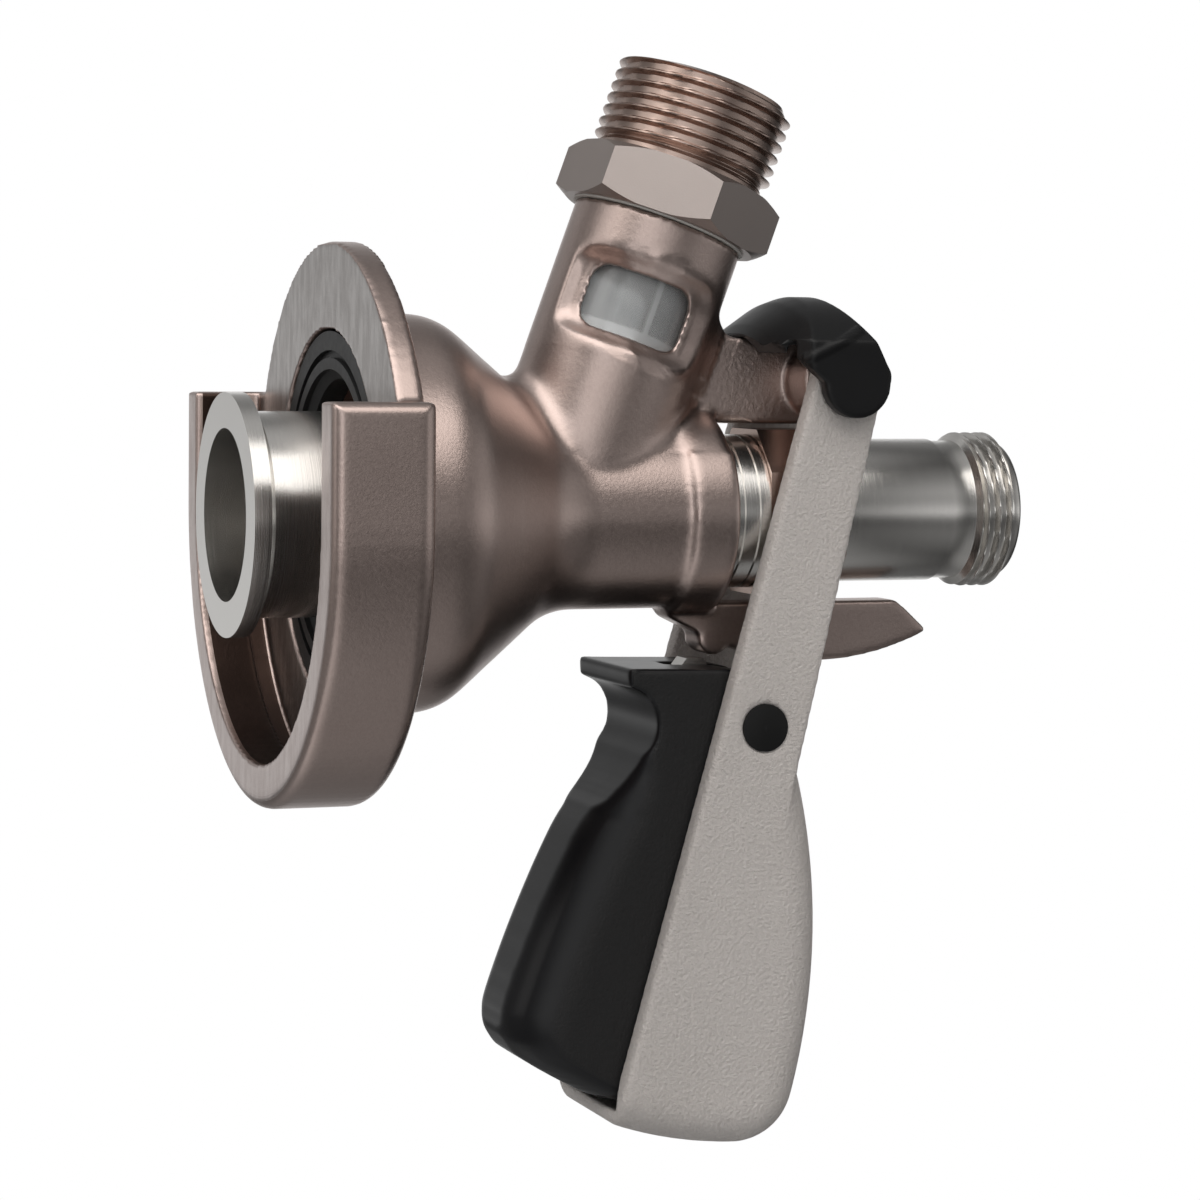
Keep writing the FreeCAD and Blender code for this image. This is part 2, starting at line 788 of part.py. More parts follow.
def probe():
    """Sliding probe: the flanged tube, the trunnion block with its pins, and the outlet pipe."""
    front = -s.probe_front
    neck = s.probe_tube_radius - s.probe_groove_depth
    flange_back = front + s.probe_flange_thickness
    groove_end = flange_back + s.probe_groove_width
    block_low = s.yoke_height - s.yoke_length / 2
    block_high = s.yoke_height + s.yoke_length / 2
    bands = []
    second = s.band_start + s.band_length + s.band_groove
    for start, end in ((s.band_start, s.band_start + s.band_length), (second, second + s.band_short)):
        bands += [(s.shaft_radius, start), (s.band_radius, start), (s.band_radius, end),
                  (s.shaft_radius, end)]
    tube_body = turned_body("probe_tube", [
        (s.probe_bore_radius, front),
        (s.probe_flange_radius, front),
        (s.probe_flange_radius, flange_back),
        (neck, flange_back),
        (neck, groove_end),
        (s.probe_tube_radius, groove_end),
        (s.probe_tube_radius, s.probe_tube_top),
        (s.shaft_radius, s.probe_tube_top + s.probe_taper),
    ] + bands + [
        (s.shaft_radius, block_low),
        (s.spigot_radius, block_low),
        (s.spigot_radius, s.yoke_height),
        (s.shaft_bore_radius, s.yoke_height),
        (s.shaft_bore_radius, s.probe_tube_top),
        (s.probe_bore_radius, s.probe_tube_top - s.probe_taper),
    ])

    block = new_body("trunnion_block")
    section = sketch_on(block, "XY_Plane", "section", {"Base.z": block_low})
    half_x = s.yoke_depth / 2
    half_y = s.yoke_width / 2
    cut = s.yoke_edge * 4
    outline(section, [
        (half_x, cut - half_y), (half_x, half_y - cut), (half_x - cut, half_y), (cut - half_x, half_y),
        (-half_x, half_y - cut), (-half_x, cut - half_y), (cut - half_x, -half_y), (half_x - cut, -half_y),
    ])
    extrude(block, section, s.yoke_length, middle=False)
    hole = sketch_on(block, "XY_Plane", "bore", {"Base.z": block_low})
    ring(hole, 0, 0, s.spigot_radius + s.running_clearance)
    extrude(block, hole, s.yoke_length, cut=True, middle=False, turned=True)
    pin_seat = sketch_on(block, "XZ_Plane", "pin_seat")
    ring(pin_seat, 0, s.yoke_height, s.trunnion_radius)
    extrude(block, pin_seat, s.yoke_width + 1, cut=True)

    pins = []
    for side, name in ((-1, "near"), (1, "far")):
        pin = doc.addObject("Part::Cylinder", "trunnion_pin_" + name)
        bind(pin, "Radius", s.trunnion_radius)
        start = s.spigot_radius + s.free_clearance
        bind(pin, "Height", s.handle_gap / 2 + s.trunnion_reach - start)
        pin.Placement = FreeCAD.Placement(
            FreeCAD.Vector(0, 1, 1), FreeCAD.Rotation(FreeCAD.Vector(1, 0, 0), -90 * side)
        )
        bind(pin, "Placement.Base.y", side * start)
        bind(pin, "Placement.Base.z", s.yoke_height)
        pins.append(pin)

    nose = s.outlet_end
    outlet = turned_body("outlet_pipe", [
        (s.shaft_bore_radius, s.yoke_height),
        (s.spigot_radius, s.yoke_height),
        (s.spigot_radius, block_high),
        (s.outlet_radius, block_high),
        (s.outlet_radius, s.outlet_step_height),
        (s.outlet_step_radius, s.outlet_step_height + 0.6),
        (s.outlet_step_radius, s.outlet_flare_height),
        (s.outlet_thread_radius, s.outlet_thread_start),
        (s.outlet_thread_radius, s.outlet_thread_end),
        (s.outlet_nose_radius, s.outlet_thread_end),
        (s.outlet_nose_radius, nose - s.outlet_nose_round, s.outlet_nose_round * 1.001),
        (s.outlet_nose_radius - s.outlet_nose_round, nose),
        (s.shaft_bore_radius + 0.6, nose),
        (s.shaft_bore_radius, nose - 1),
    ])
    return [tube_body, block, together("trunnion_pins", pins), outlet]


def hinge():
    """Pin through the ear, and a flanged bush in the eye of each arm."""
    half = handle_half + s.cap_pin_grip
    pin = turned_body("hinge_pin", [
        (0, -half), (s.hinge_pin_radius - 0.4, -half), (s.hinge_pin_radius, 0.4 - half),
        (s.hinge_pin_radius, half - 0.4), (s.hinge_pin_radius - 0.4, half), (0, half),
    ])
    across(pin, hinge_x, s.hinge_height)
    bore = s.hinge_pin_radius + s.running_clearance
    inside = s.handle_gap / 2
    bushes = []
    for side, name in ((1, "far"), (-1, "near")):
        bush = turned_body("hinge_bush_" + name, [
            (bore, side * (inside - s.bush_flange)),
            (s.bush_flange_radius, side * (inside - s.bush_flange)),
            (s.bush_flange_radius, side * inside),
            (s.bush_radius, side * inside),
            (s.bush_radius, side * handle_half),
            (bore, side * handle_half),
        ][::side])
        bushes.append(bush)
    both = together("hinge_bushes", bushes)
    across(both, hinge_x, s.hinge_height)
    return [pin, both]


def front_line(x):
    """Height of the front edge of the handle arms at a distance x from the probe axis."""
    start_x = hinge_x - s.eye_radius * sine(s.handle_front_slope)
    start = s.hinge_height - s.eye_radius * cosine(s.handle_front_slope)
    return start - (x - start_x) * tangent(s.handle_front_slope)


def back_line(x):
    start_x = hinge_x + s.eye_radius * sine(s.handle_back_slope)
    start = s.hinge_height + s.eye_radius * cosine(s.handle_back_slope)
    return start - (x - start_x) * tangent(s.handle_back_slope)


def cup_reach(radius, z):
    """Where a circle about the trigger pin stands at height z."""
    rise = z - s.trigger_pin_height
    return s.trigger_pin_reach + root(radius * radius - rise * rise)


def handle_frame():
    """Fork-shaped handle: two arms from the hinge, and a channel-shaped grip that ends in a cup."""
    body = new_body("handle_frame")
    cup_outer = s.trigger_arc_radius + s.cup_clearance + s.cup_wall
    cup_inner = s.trigger_arc_radius + s.cup_clearance
    front_x = hinge_x - s.eye_radius * sine(s.handle_front_slope)
    back_x = hinge_x + s.eye_radius * sine(s.handle_back_slope)
    corner_low = s.trigger_pin_height - 2.4
    back_end = back_line(s.grip_start) + 0.5
    side = sketch_on(body, "XZ_Plane", "side")
    outline(side, [
        (front_x, front_line(front_x)),
        (s.cup_front, front_line(s.cup_front)),
        (cup_reach(cup_outer, s.cup_lip), s.cup_lip, cup_outer),
        (cup_reach(cup_outer, corner_low), corner_low, s.grip_corner_radius),
        (s.grip_end, back_end, s.grip_back_radius),
        (s.grip_start, back_line(s.grip_start)),
        (back_x, back_line(back_x)),
    ])
    extrude(body, side, 2 * handle_half)

    def grip_edges(edge, middle):
        on_side = abs(abs(middle.y) - handle_half.value) < 0.01
        return on_side and middle.x > s.grip_start.value + 1 and middle.z > s.trigger_pin_height.value

    soften(body, grip_edges, s.grip_edge_round)
    eye = sketch_on(body, "XZ_Plane", "eye")
    ring(eye, hinge_x, s.hinge_height, s.eye_radius)
    extrude(body, eye, 2 * handle_half)

    # Channel between the arms, open to the back above the grip and closed by its wall below
    channel = sketch_on(body, "XZ_Plane", "channel")
    wall = s.grip_wall
    inner_low = s.trigger_pin_height - 0.5
    outline(channel, [
        (hinge_x - 2 * s.eye_radius, s.cup_lip - 30),
        (cup_reach(cup_inner, s.cup_lip - 4), s.cup_lip - 30),
        (cup_reach(cup_inner, s.cup_lip - 4), s.cup_lip - 4, cup_inner),
        (cup_reach(cup_inner, inner_low), inner_low, s.grip_corner_radius),
        (s.grip_end - wall / 2, back_end - wall, s.grip_back_radius - wall),
        (s.grip_start + wall, back_line(s.grip_start) - wall),
        (s.grip_start, back_line(s.grip_start) + 20),
        (hinge_x - 2 * s.eye_radius, back_line(s.grip_start) + 20),
    ])
    extrude(body, channel, s.handle_gap, cut=True)

    # Bores for the hinge bushes and the trigger pin, and blind grooves for the trunnion pins
    bush_bore = sketch_on(body, "XZ_Plane", "bush_bore")
    ring(bush_bore, hinge_x, s.hinge_height, s.bush_radius + s.running_clearance)
    extrude(body, bush_bore, 2 * handle_half + 2, cut=True)
    pin_bore = sketch_on(body, "XZ_Plane", "pin_bore")
    ring(pin_bore, s.trigger_pin_reach, s.trigger_pin_height, s.trigger_pin_radius + s.running_clearance)
    extrude(body, pin_bore, 2 * handle_half + 2, cut=True)
    for side_sign, name in ((1, "near"), (-1, "far")):
        seat = sketch_on(body, "XZ_Plane", "plug_seat_" + name, {"Base.z": side_sign * handle_half})
        ring(seat, s.trigger_pin_reach, s.trigger_pin_height, s.plug_radius + s.running_clearance)
        extrude(body, seat, s.plug_depth, cut=True, middle=False, turned=side_sign < 0)
    lean = arctangent((s.yoke_height - s.hinge_height) / s.hinge_reach)
    groove = sketch_on(body, "XZ_Plane", "trunnion_groove",
                       {"Base.x": hinge_x, "Base.y": s.hinge_height, "Rotation.Angle": lean})
    half_width = s.trunnion_radius + s.trunnion_clearance
    raised = s.yoke_height - s.hinge_height + s.probe_stroke
    near_end = s.hinge_reach - s.free_clearance
    far_end = root(s.hinge_reach * s.hinge_reach + raised * raised) + s.free_clearance
    outline(groove, [
        (near_end, -half_width), (far_end, -half_width, half_width * 1.0001),
        (far_end, half_width), (near_end, half_width, half_width * 1.0001),
    ])
    extrude(body, groove, s.handle_gap + 2 * (s.trunnion_reach + s.free_clearance), cut=True)
    return body


def trigger_pin():
    """Pin through both arms, and the plug that covers each end of it."""
    half = handle_half - s.plug_depth
    pin = turned_body("trigger_pin", [
        (0, -half), (s.trigger_pin_radius, -half), (s.trigger_pin_radius, half), (0, half),
    ])
    across(pin, s.trigger_pin_reach, s.trigger_pin_height)
    dome_radius = (s.plug_radius * s.plug_radius + s.plug_dome * s.plug_dome) / (2 * s.plug_dome)
    plugs = []
    for side, name in ((1, "far"), (-1, "near")):
        plugs.append(turned_body("pin_plug_" + name, [
            (0, side * half),
            (s.plug_radius, side * half),
            (s.plug_radius, side * handle_half, side * dome_radius),
            (0, side * (handle_half + s.plug_dome)),
        ]))
    both = together("trigger_pin_plugs", plugs)
    across(both, s.trigger_pin_reach, s.trigger_pin_height)
    return [pin, both]


def trigger():
    """Moulded trigger, hollow from behind, and the steel pawl on the same pin."""
    body = new_body("trigger")
    px = s.trigger_pin_reach
    pz = s.trigger_pin_height
    top = s.trigger_top
    side = sketch_on(body, "XZ_Plane", "side")
    outline(side, [
        (top, s.trigger_beak),
        (top + 2.7, s.trigger_beak + 0.3, -5.6),
        (px + 3.9, pz - 15.4, -13.4),
        (px + 11.6, pz - 22.0, 170),
        (px + 43.7, pz - 35.6),
        (cup_reach(s.trigger_arc_radius, pz - 33.9), pz - 33.9, s.trigger_arc_radius),
        (cup_reach(s.trigger_arc_radius, pz - 15), pz - 15),
        (px + 51, pz - 8.4),
        (px + 9, pz - 0.5),
        (px + 4.2, pz + 4.4),
        (px - 3.5, pz + 5.4),
        (top + 1.3, pz + 1.2),
        (top + 0.4, pz - 4),
    ])
    extrude(body, side, s.trigger_width)
    hollow = sketch_on(body, "XZ_Plane", "hollow")
    wall = s.trigger_wall
    outline(hollow, [
        (top + wall + 0.3, pz - 10.9),
        (px + 5.7, pz - 11.9),
        (px + 13.7, pz - 18.9),
        (px + 43.7, pz - 32.0),
        (px + 51.7, pz - 16.9),
        (px + 51.7, pz + 12),
        (top + wall + 0.3, pz + 12),
    ])
    extrude(body, hollow, s.trigger_width - 2 * wall, cut=True)
    bore = sketch_on(body, "XZ_Plane", "bore")
    ring(bore, px, pz, s.trigger_pin_radius + s.running_clearance)
    extrude(body, bore, s.trigger_width + 2, cut=True)
    slot = sketch_on(body, "XZ_Plane", "pawl_slot")
    outline(slot, [(top - 2, pz - 9.9), (top + wall + 1, pz - 9.9), (top + wall + 1, pz + 2), (top - 2, pz + 2)])
    extrude(body, slot, s.pawl_thickness + s.free_clearance, cut=True)

    pawl = new_body("latch_pawl")
    plate = sketch_on(pawl, "XZ_Plane", "plate")
    floor_slope = as_size(-1.0) / (px + 5.7 - top - wall - 0.3)

    def floor(x):
        return pz - 10.9 + (x - top - wall - 0.3) * floor_slope

    outline(plate, [
        (px - 4.5, floor(px - 4.5)),
        (px + 3.5, floor(px + 3.5)),
        (px + 4.4, pz, 4.4),
        (px - 0.1, pz + 4.4, 9),
        (px - 6.6, pz - 3.2),
        (px - 9.0, pz - 4.6),
        (px - 9.0, pz - 7.2),
        (px - 6.2, pz - 9.4),
    ])
    extrude(pawl, plate, s.pawl_thickness)
    pivot = sketch_on(pawl, "XZ_Plane", "pivot")
    ring(pivot, px, pz, s.trigger_pin_radius + s.running_clearance)
    extrude(pawl, pivot, s.pawl_thickness + 1, cut=True)
    return [body, pawl]


def trigger_spring():
    """Coil about the trigger pin, beside the pawl."""
    coil = s.spring_coil_radius
    wire = s.spring_wire_radius
    path = doc.addObject("Part::Helix", "spring_path")
    bind(path, "Radius", coil)
    bind(path, "Pitch", 2.4 * wire)
    bind(path, "Height", 2.4 * wire * 5)
    wire_section = doc.addObject("Part::Circle", "spring_wire")
    bind(wire_section, "Radius", wire)
    wire_section.Placement = FreeCAD.Placement(
        FreeCAD.Vector(1, 0, 0), FreeCAD.Rotation(FreeCAD.Vector(1, 0, 0), 90)
    )
    bind(wire_section, "Placement.Base.x", coil)
    spring = doc.addObject("Part::Sweep", "trigger_spring")
    spring.Sections = [wire_section]
    spring.Spine = (path, ["Edge1"])
    spring.Solid = True
    spring.Frenet = True
    spring.Label = "trigger_spring"
    across(spring, s.trigger_pin_reach, s.trigger_pin_height)
    bind(spring, "Placement.Base.y", s.pawl_thickness / 2 + wire + s.free_clearance)
    return spring


def hinge_cap():
    """Moulded saddle over the hinge: a disc on each end of the pin, joined by an arched band."""
    body = new_body("hinge_cap")
    hx = hinge_x
    hz = s.hinge_height
    disc = s.cap_disc_radius
    inside = handle_half + cap_gap
    outside = inside + s.cap_disc_thickness
    crown = -s.cap_crown
    side = sketch_on(body, "XZ_Plane", "side")
    outline(side, [
        (hx, hz - disc, disc * 1.001),
        (hx + disc, hz, disc * 1.001),
        (hx, hz + disc),
        (hx - 6.2, hz + disc + 0.6),
        (crown + 1.2, hz + 3.2, 3.0),
        (crown, hz + 0.6),
        (crown, hz - 5.0, 9.0),
        (hx - 8.4, hz - 12.2),
        (hx - 6.4, hz - 12.2),
    ])
    extrude(body, side, 2 * outside)

    # Arched over the hinge, seen along the probe
    arch = (outside + 0.6) * (outside + 0.6)
    drop = s.cap_arch_drop
    radius = (arch + drop * drop) / (2 * drop)
    over = sketch_on(body, "XY_Plane", "over")
    outline(over, [
        (crown + drop, -(outside + 0.6), -radius),
        (crown + drop, outside + 0.6),
        (crown - 15, outside + 0.6),
        (crown - 15, -(outside + 0.6)),
    ])
    extrude(body, over, s.outlet_end, cut=True, middle=False, turned=True)
    under = sketch_on(body, "XY_Plane", "under", {"Base.z": hz - 9.5})
    inner_radius = radius - s.cap_wall
    centre = crown + radius
    edge = centre - root(inner_radius * inner_radius - inside * inside)
    outline(under, [
        (hx + 2 * disc, -inside), (hx + 2 * disc, inside), (edge, inside, inner_radius), (edge, -inside),
    ])
    extrude(body, under, s.outlet_end, cut=True, middle=False, turned=True)

    # Tongue towards the port, narrower than the band, and a notch over the ear
    for sign, name in ((1, "far"), (-1, "near")):
        corner = sketch_on(body, "YZ_Plane", "corner_" + name)
        outline(corner, [
            (sign * 7.5, hz - 16), (sign * (outside + 1), hz - 16), (sign * (outside + 1), hz - 6.5),
            (sign * 13, hz - 10.5),
        ][::sign])
        extrude(body, corner, 2 * s.cap_crown + 20, cut=True)
    notch = sketch_on(body, "XY_Plane", "notch", {"Base.z": hz - 20})
    outline(notch, [
        (hx - s.ear_radius, -(s.ear_thickness / 2 + 0.1)), (hx, -(s.ear_thickness / 2 + 0.1)),
        (hx, s.ear_thickness / 2 + 0.1), (hx - s.ear_radius, s.ear_thickness / 2 + 0.1),
    ])
    extrude(body, notch, as_size(30), cut=True, middle=False, turned=True)
    grip = sketch_on(body, "XZ_Plane", "pin_grip")
    ring(grip, hx, hz, s.hinge_pin_radius + s.running_clearance)
    extrude(body, grip, 2 * (handle_half + s.cap_pin_grip + 0.1), cut=True)
    return body


def check(objects):
    """Every object must be up to date, and every piece a valid solid."""
    for item in doc.Objects:
        if "Invalid" in item.State or "Error" in item.State:
            raise RuntimeError("failed: %s %s" % (item.Name, item.State))
    for item in objects:
        if item.Shape.isNull() or not item.Shape.isValid() or not item.Shape.Solids:
            raise RuntimeError("bad shape: " + item.Label)


pieces = [body_casting(), keg_seal()]
pieces += gland()
pieces += port_nipple()
pieces += sight_glass()
pieces += probe()
pieces += hinge()
pieces.append(handle_frame())
pieces += trigger_pin()
pieces += trigger()
pieces.append(trigger_spring())
pieces.append(hinge_cap())
doc.recompute()
check(pieces)
for piece in pieces:
    piece.Shape.exportStep("parts/%s.step" % piece.Label)
    print(piece.Label, len(piece.Shape.Solids), round(piece.Shape.Volume, 1))
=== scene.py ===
import json
import math

import bmesh
import bpy
from mathutils import Matrix, Vector


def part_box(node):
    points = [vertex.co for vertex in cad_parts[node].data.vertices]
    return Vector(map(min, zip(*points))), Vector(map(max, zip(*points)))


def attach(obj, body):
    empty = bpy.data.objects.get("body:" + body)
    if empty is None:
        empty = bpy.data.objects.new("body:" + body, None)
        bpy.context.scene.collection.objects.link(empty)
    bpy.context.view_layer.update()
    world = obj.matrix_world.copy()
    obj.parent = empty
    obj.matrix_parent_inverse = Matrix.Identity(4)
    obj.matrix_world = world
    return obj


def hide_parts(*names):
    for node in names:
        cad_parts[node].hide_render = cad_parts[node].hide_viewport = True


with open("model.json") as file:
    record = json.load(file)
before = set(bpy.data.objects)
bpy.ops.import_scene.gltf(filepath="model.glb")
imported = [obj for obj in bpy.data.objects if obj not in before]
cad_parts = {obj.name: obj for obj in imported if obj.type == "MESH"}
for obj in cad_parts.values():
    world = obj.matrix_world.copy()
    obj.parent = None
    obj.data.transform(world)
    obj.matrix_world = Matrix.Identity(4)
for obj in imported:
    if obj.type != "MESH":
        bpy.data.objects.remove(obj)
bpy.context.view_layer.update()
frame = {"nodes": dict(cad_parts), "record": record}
nodes = frame["nodes"]
MM = 0.001


# The casting: forged brass with a bead-blasted, pinkish nickel plate. Its keg rim, the face
# that meets the keg and the collar are machined afterwards, and show fine turning marks.
class Link:
    """One output of a finish's nodes. A sum written on it adds the node that works it out."""

    def __init__(self, finish, socket):
        self.finish = finish
        self.socket = socket

    def reckon(self, operation, *values):
        return self.finish.node("ShaderNodeMath", {"operation": operation}, dict(enumerate(values)))

    def __add__(self, other):
        return self.reckon("ADD", self, other)

    __radd__ = __add__

    def __sub__(self, other):
        return self.reckon("SUBTRACT", self, other)

    def __rsub__(self, other):
        return self.reckon("SUBTRACT", other, self)

    def __mul__(self, other):
        return self.reckon("MULTIPLY", self, other)

    __rmul__ = __mul__

    def __pow__(self, other):
        return self.reckon("POWER", self, other)

    def __abs__(self):
        return self.reckon("ABSOLUTE", self)

    def __gt__(self, other):
        return self.reckon("GREATER_THAN", self, other)

    def __lt__(self, other):
        return self.reckon("LESS_THAN", self, other)


class Finish:
    """A material: its constants go on the shader's own sockets, and its nodes are added by node()."""

    def __init__(self, name, **constants):
        self.material = bpy.data.materials.new(name)
        self.material.use_nodes = True
        self.tree = self.material.node_tree
        self.shader = self.tree.nodes["Principled BSDF"]
        for words, value in constants.items():
            self.shader.inputs[words.replace("_", " ")].default_value = value

    def node(self, kind, settings=None, inputs=None, output=0):
        made = self.tree.nodes.new(kind)
        for name, value in (settings or {}).items():
            if name == "stops":
                ramp = made.color_ramp
                while len(ramp.elements) < len(value):
                    ramp.elements.new(1.0)
                for element, (place, colour) in zip(ramp.elements, value):
                    element.position = place
                    element.color = (*colour, 1.0)
            else:
                setattr(made, name, value)
        for name, value in (inputs or {}).items():
            if isinstance(value, Link):
                self.tree.links.new(value.socket, made.inputs[name])
            else:
                made.inputs[name].default_value = value
        return Link(self, made.outputs[output])

    def place(self, part="Object"):
        return self.node("ShaderNodeTexCoord", output=part)

    def apart(self, vector):
        split = self.node("ShaderNodeSeparateXYZ", inputs={0: vector})
        return [Link(self, output) for output in split.socket.node.outputs]

    def noise(self, vector, scale, detail=2.0, roughness=0.5):
        return self.node("ShaderNodeTexNoise", {},
                         {"Vector": vector, "Scale": scale, "Detail": detail, "Roughness": roughness})

    def scaled(self, vector, scale):
        return self.node("ShaderNodeVectorMath", {"operation": "MULTIPLY"}, {0: vector, 1: scale})

    def dot(self, vector, way):
        return self.node("ShaderNodeVectorMath", {"operation": "DOT_PRODUCT"},
                         {0: vector, 1: tuple(way)}, output="Value")

    def ramp(self, value, *stops):
        return self.node("ShaderNodeValToRGB", {"stops": stops}, {0: value})

    def blend(self, factor, first, second):
        """The first colour where the factor is 0 and the second where it is 1."""
        ends = [(*colour, 1.0) if isinstance(colour, tuple) else colour for colour in (first, second)]
        return self.node("ShaderNodeMix", {"data_type": "RGBA"},
                         {0: factor, 6: ends[0], 7: ends[1]}, output=2)

    def within(self, value, low, high):
        """0 below low, 1 above high, with an even slope between them."""
        return self.node("ShaderNodeMapRange", {"clamp": True}, {0: value, 1: low, 2: high, 3: 0.0, 4: 1.0})

    def rings(self, distance, pitch):
        """Fine turning marks: a noise that changes only with the distance given."""
        return self.noise(self.node("ShaderNodeCombineXYZ", {}, {0: distance * pitch}), 1.0, 3.0, 0.7)

    def bump(self, height, distance):
        return self.node("ShaderNodeBump", {}, {"Strength": 1.0, "Distance": distance, "Height": height})

    def feed(self, **links):
        for words, value in links.items():
            self.tree.links.new(value.socket, self.shader.inputs[words.replace("_", " ")])


def dress(node, finish):
    """Gives a solid's node a finish."""
    for slot in nodes[node].material_slots:
        slot.material = finish.material


def clad(piece, finish):
    """Gives a piece made here a finish."""
    piece.data.materials.clear()
    piece.data.materials.append(finish.material)


def plate(name, colour, rough, grain):
    """Nickel plate: a base tone that drifts a little, and a fine satin grain."""
    finish = Finish(name, Metallic=1.0)
    place = finish.place()
    drift = finish.noise(place, 60.0, 3.0)
    fine = finish.noise(place, 5200.0, 3.0, 0.6)
    deep = tuple(0.9 * part for part in colour)
    light = tuple(1.08 * part for part in colour)
    finish.feed(Base_Color=finish.blend(drift, deep, light), Roughness=rough + 0.08 * drift,
                Normal=finish.bump(fine, grain))
    return finish


def set_out(name, mesh):
    """An object of its own for a mesh, which is used up."""
    data = bpy.data.meshes.new(name)
    mesh.to_mesh(data)
    mesh.free()
    piece = bpy.data.objects.new(name, data)
    bpy.context.scene.collection.objects.link(piece)
    return piece


def reworked(node, name):
    """A copy of a solid's mesh with its split corners joined, to be shaped further."""
    mesh = bmesh.new()
    mesh.from_mesh(nodes[node].data)
    bmesh.ops.remove_doubles(mesh, verts=mesh.verts, dist=0.002 * MM)
    return set_out(name, mesh)


def worked(piece):
    """Turns a piece's modifiers into its mesh."""
    graph = bpy.context.evaluated_depsgraph_get()
    piece.data = bpy.data.meshes.new_from_object(piece.evaluated_get(graph))
    piece.modifiers.clear()


def cast(piece, grain, passes, chosen=None):
    """Rounds all edges of a piece by an even fine mesh that is then evened out in passes."""
    even = piece.modifiers.new("even mesh", "REMESH")
    even.mode = "VOXEL"
    even.voxel_size = grain
    worked(piece)
    cast_more(piece, passes, chosen)
    piece.data.shade_smooth()


def cast_more(piece, passes, chosen=None):
    """Evens a mesh out in passes, everywhere or by the weight that chosen gives a place."""
    soft = piece.modifiers.new("softened", "SMOOTH")
    soft.factor = 0.5
    soft.iterations = passes
    if chosen:
        group = piece.vertex_groups.new(name="softened")
        for vertex in piece.data.vertices:
            weight = chosen(vertex.co)
            if weight > 0:
                group.add([vertex.index], weight, "REPLACE")
        soft.vertex_group = group.name
    worked(piece)
    piece.vertex_groups.clear()


def united(piece, other, operation):
    """Adds another piece to a piece or cuts it away, and removes that other one."""
    change = piece.modifiers.new(other.name, "BOOLEAN")
    change.operation = operation
    change.solver = "EXACT"
    change.object = other
    worked(piece)
    bpy.data.objects.remove(other)


def loft(name, loops):
    """A closed solid through loops of the same number of points, with a face at each end."""
    mesh = bmesh.new()
    rows = [[mesh.verts.new(point) for point in loop] for loop in loops]
    for row, after in zip(rows, rows[1:]):
        for step in range(len(row)):
            beyond = (step + 1) % len(row)
            mesh.faces.new((row[step], row[beyond], after[beyond], after[step]))
    for row in (rows[0], rows[-1]):
        mesh.faces.new(row)
    bmesh.ops.recalc_face_normals(mesh, faces=mesh.faces)
    return set_out(name, mesh)


mounts = {mount["name"]: mount for mount in frame["record"]["mounts"]}
gas = mounts["gas_port"]
gas_axis = Vector(gas["axis"])
GAS_MOUNT = 58.7 * MM
gas_root = Vector(gas["pos_m"]) - GAS_MOUNT * gas_axis
gas_across = Vector((gas_axis.z, 0, -gas_axis.x))

# Recess round each window: a rounded rectangle on the port's tube, whose walls flare out.
# Each of FLARE's pairs is how far out of the land's outline and how far above the land a wall is.
TUBE_RADIUS = 12.45 * MM
CUTTER_CLEAR = 4 * MM
RECESS_POINTS = 72
LAND_RADIUS = 10.8 * MM
RECESS_CENTRE = 30.6 * MM
RECESS_TURN = math.radians(1)
WINDOW_TURN = math.radians(-13)
WINDOW_SPAN = (22.5 * MM, 25.0 * MM, 38.0 * MM, 42.0 * MM)
WINDOW_HALF = (math.radians(56), math.radians(84))
HALF_ALONG = 4.9 * MM
HALF_AROUND = 9.5 * MM
SQUARENESS = 0.42
FLARE = ((0.0, 0.0), (0.5, 0.15), (0.9, 0.5), (1.2, 0.95),
         (1.5, 1.3), (1.95, 1.53), (2.6, 1.66), (3.4, 1.8))


def recess(name, side):
    """The cutter of a window's recess, on the side of the port that side's sign gives."""
    def loop(spread, beyond, radius):
        points = []
        for step in range(RECESS_POINTS):
            angle = math.tau * step / RECESS_POINTS
            along, around = (math.copysign(abs(wave) ** SQUARENESS, wave)
                             for wave in (math.cos(angle), math.sin(angle)))
            turn = RECESS_TURN + around * (HALF_AROUND * spread + beyond) / LAND_RADIUS
            points.append(gas_root + gas_axis * (RECESS_CENTRE + along * (HALF_ALONG * spread + beyond))
                          + gas_across * radius * math.sin(turn)
                          + Vector((0, side * radius * math.cos(turn), 0)))
        return points

    loops = [loop(share, 0.0, LAND_RADIUS) for share in (0.1, 0.4, 0.7)]
    loops += [loop(1.0, out * MM, LAND_RADIUS + rise * MM) for out, rise in FLARE]
    loops += [loop(share, 0.0, TUBE_RADIUS + CUTTER_CLEAR) for share in (1.2, 0.6, 0.1)]
    return loft(name, loops)


# Edges of the rim: a tight one round its front land, and rounded ends of both legs
RIM_RADIUS = 41.0 * MM
RIM_FRONT = -10.8 * MM
WIDE_ROUND = 2.2 * MM
TIGHT_ROUND = 1.7 * MM
LAND_LEVEL = -10.4 * MM
LEG_END = -16.5 * MM
LEG_FRONT = 3 * MM
TOUCH = 0.01 * MM


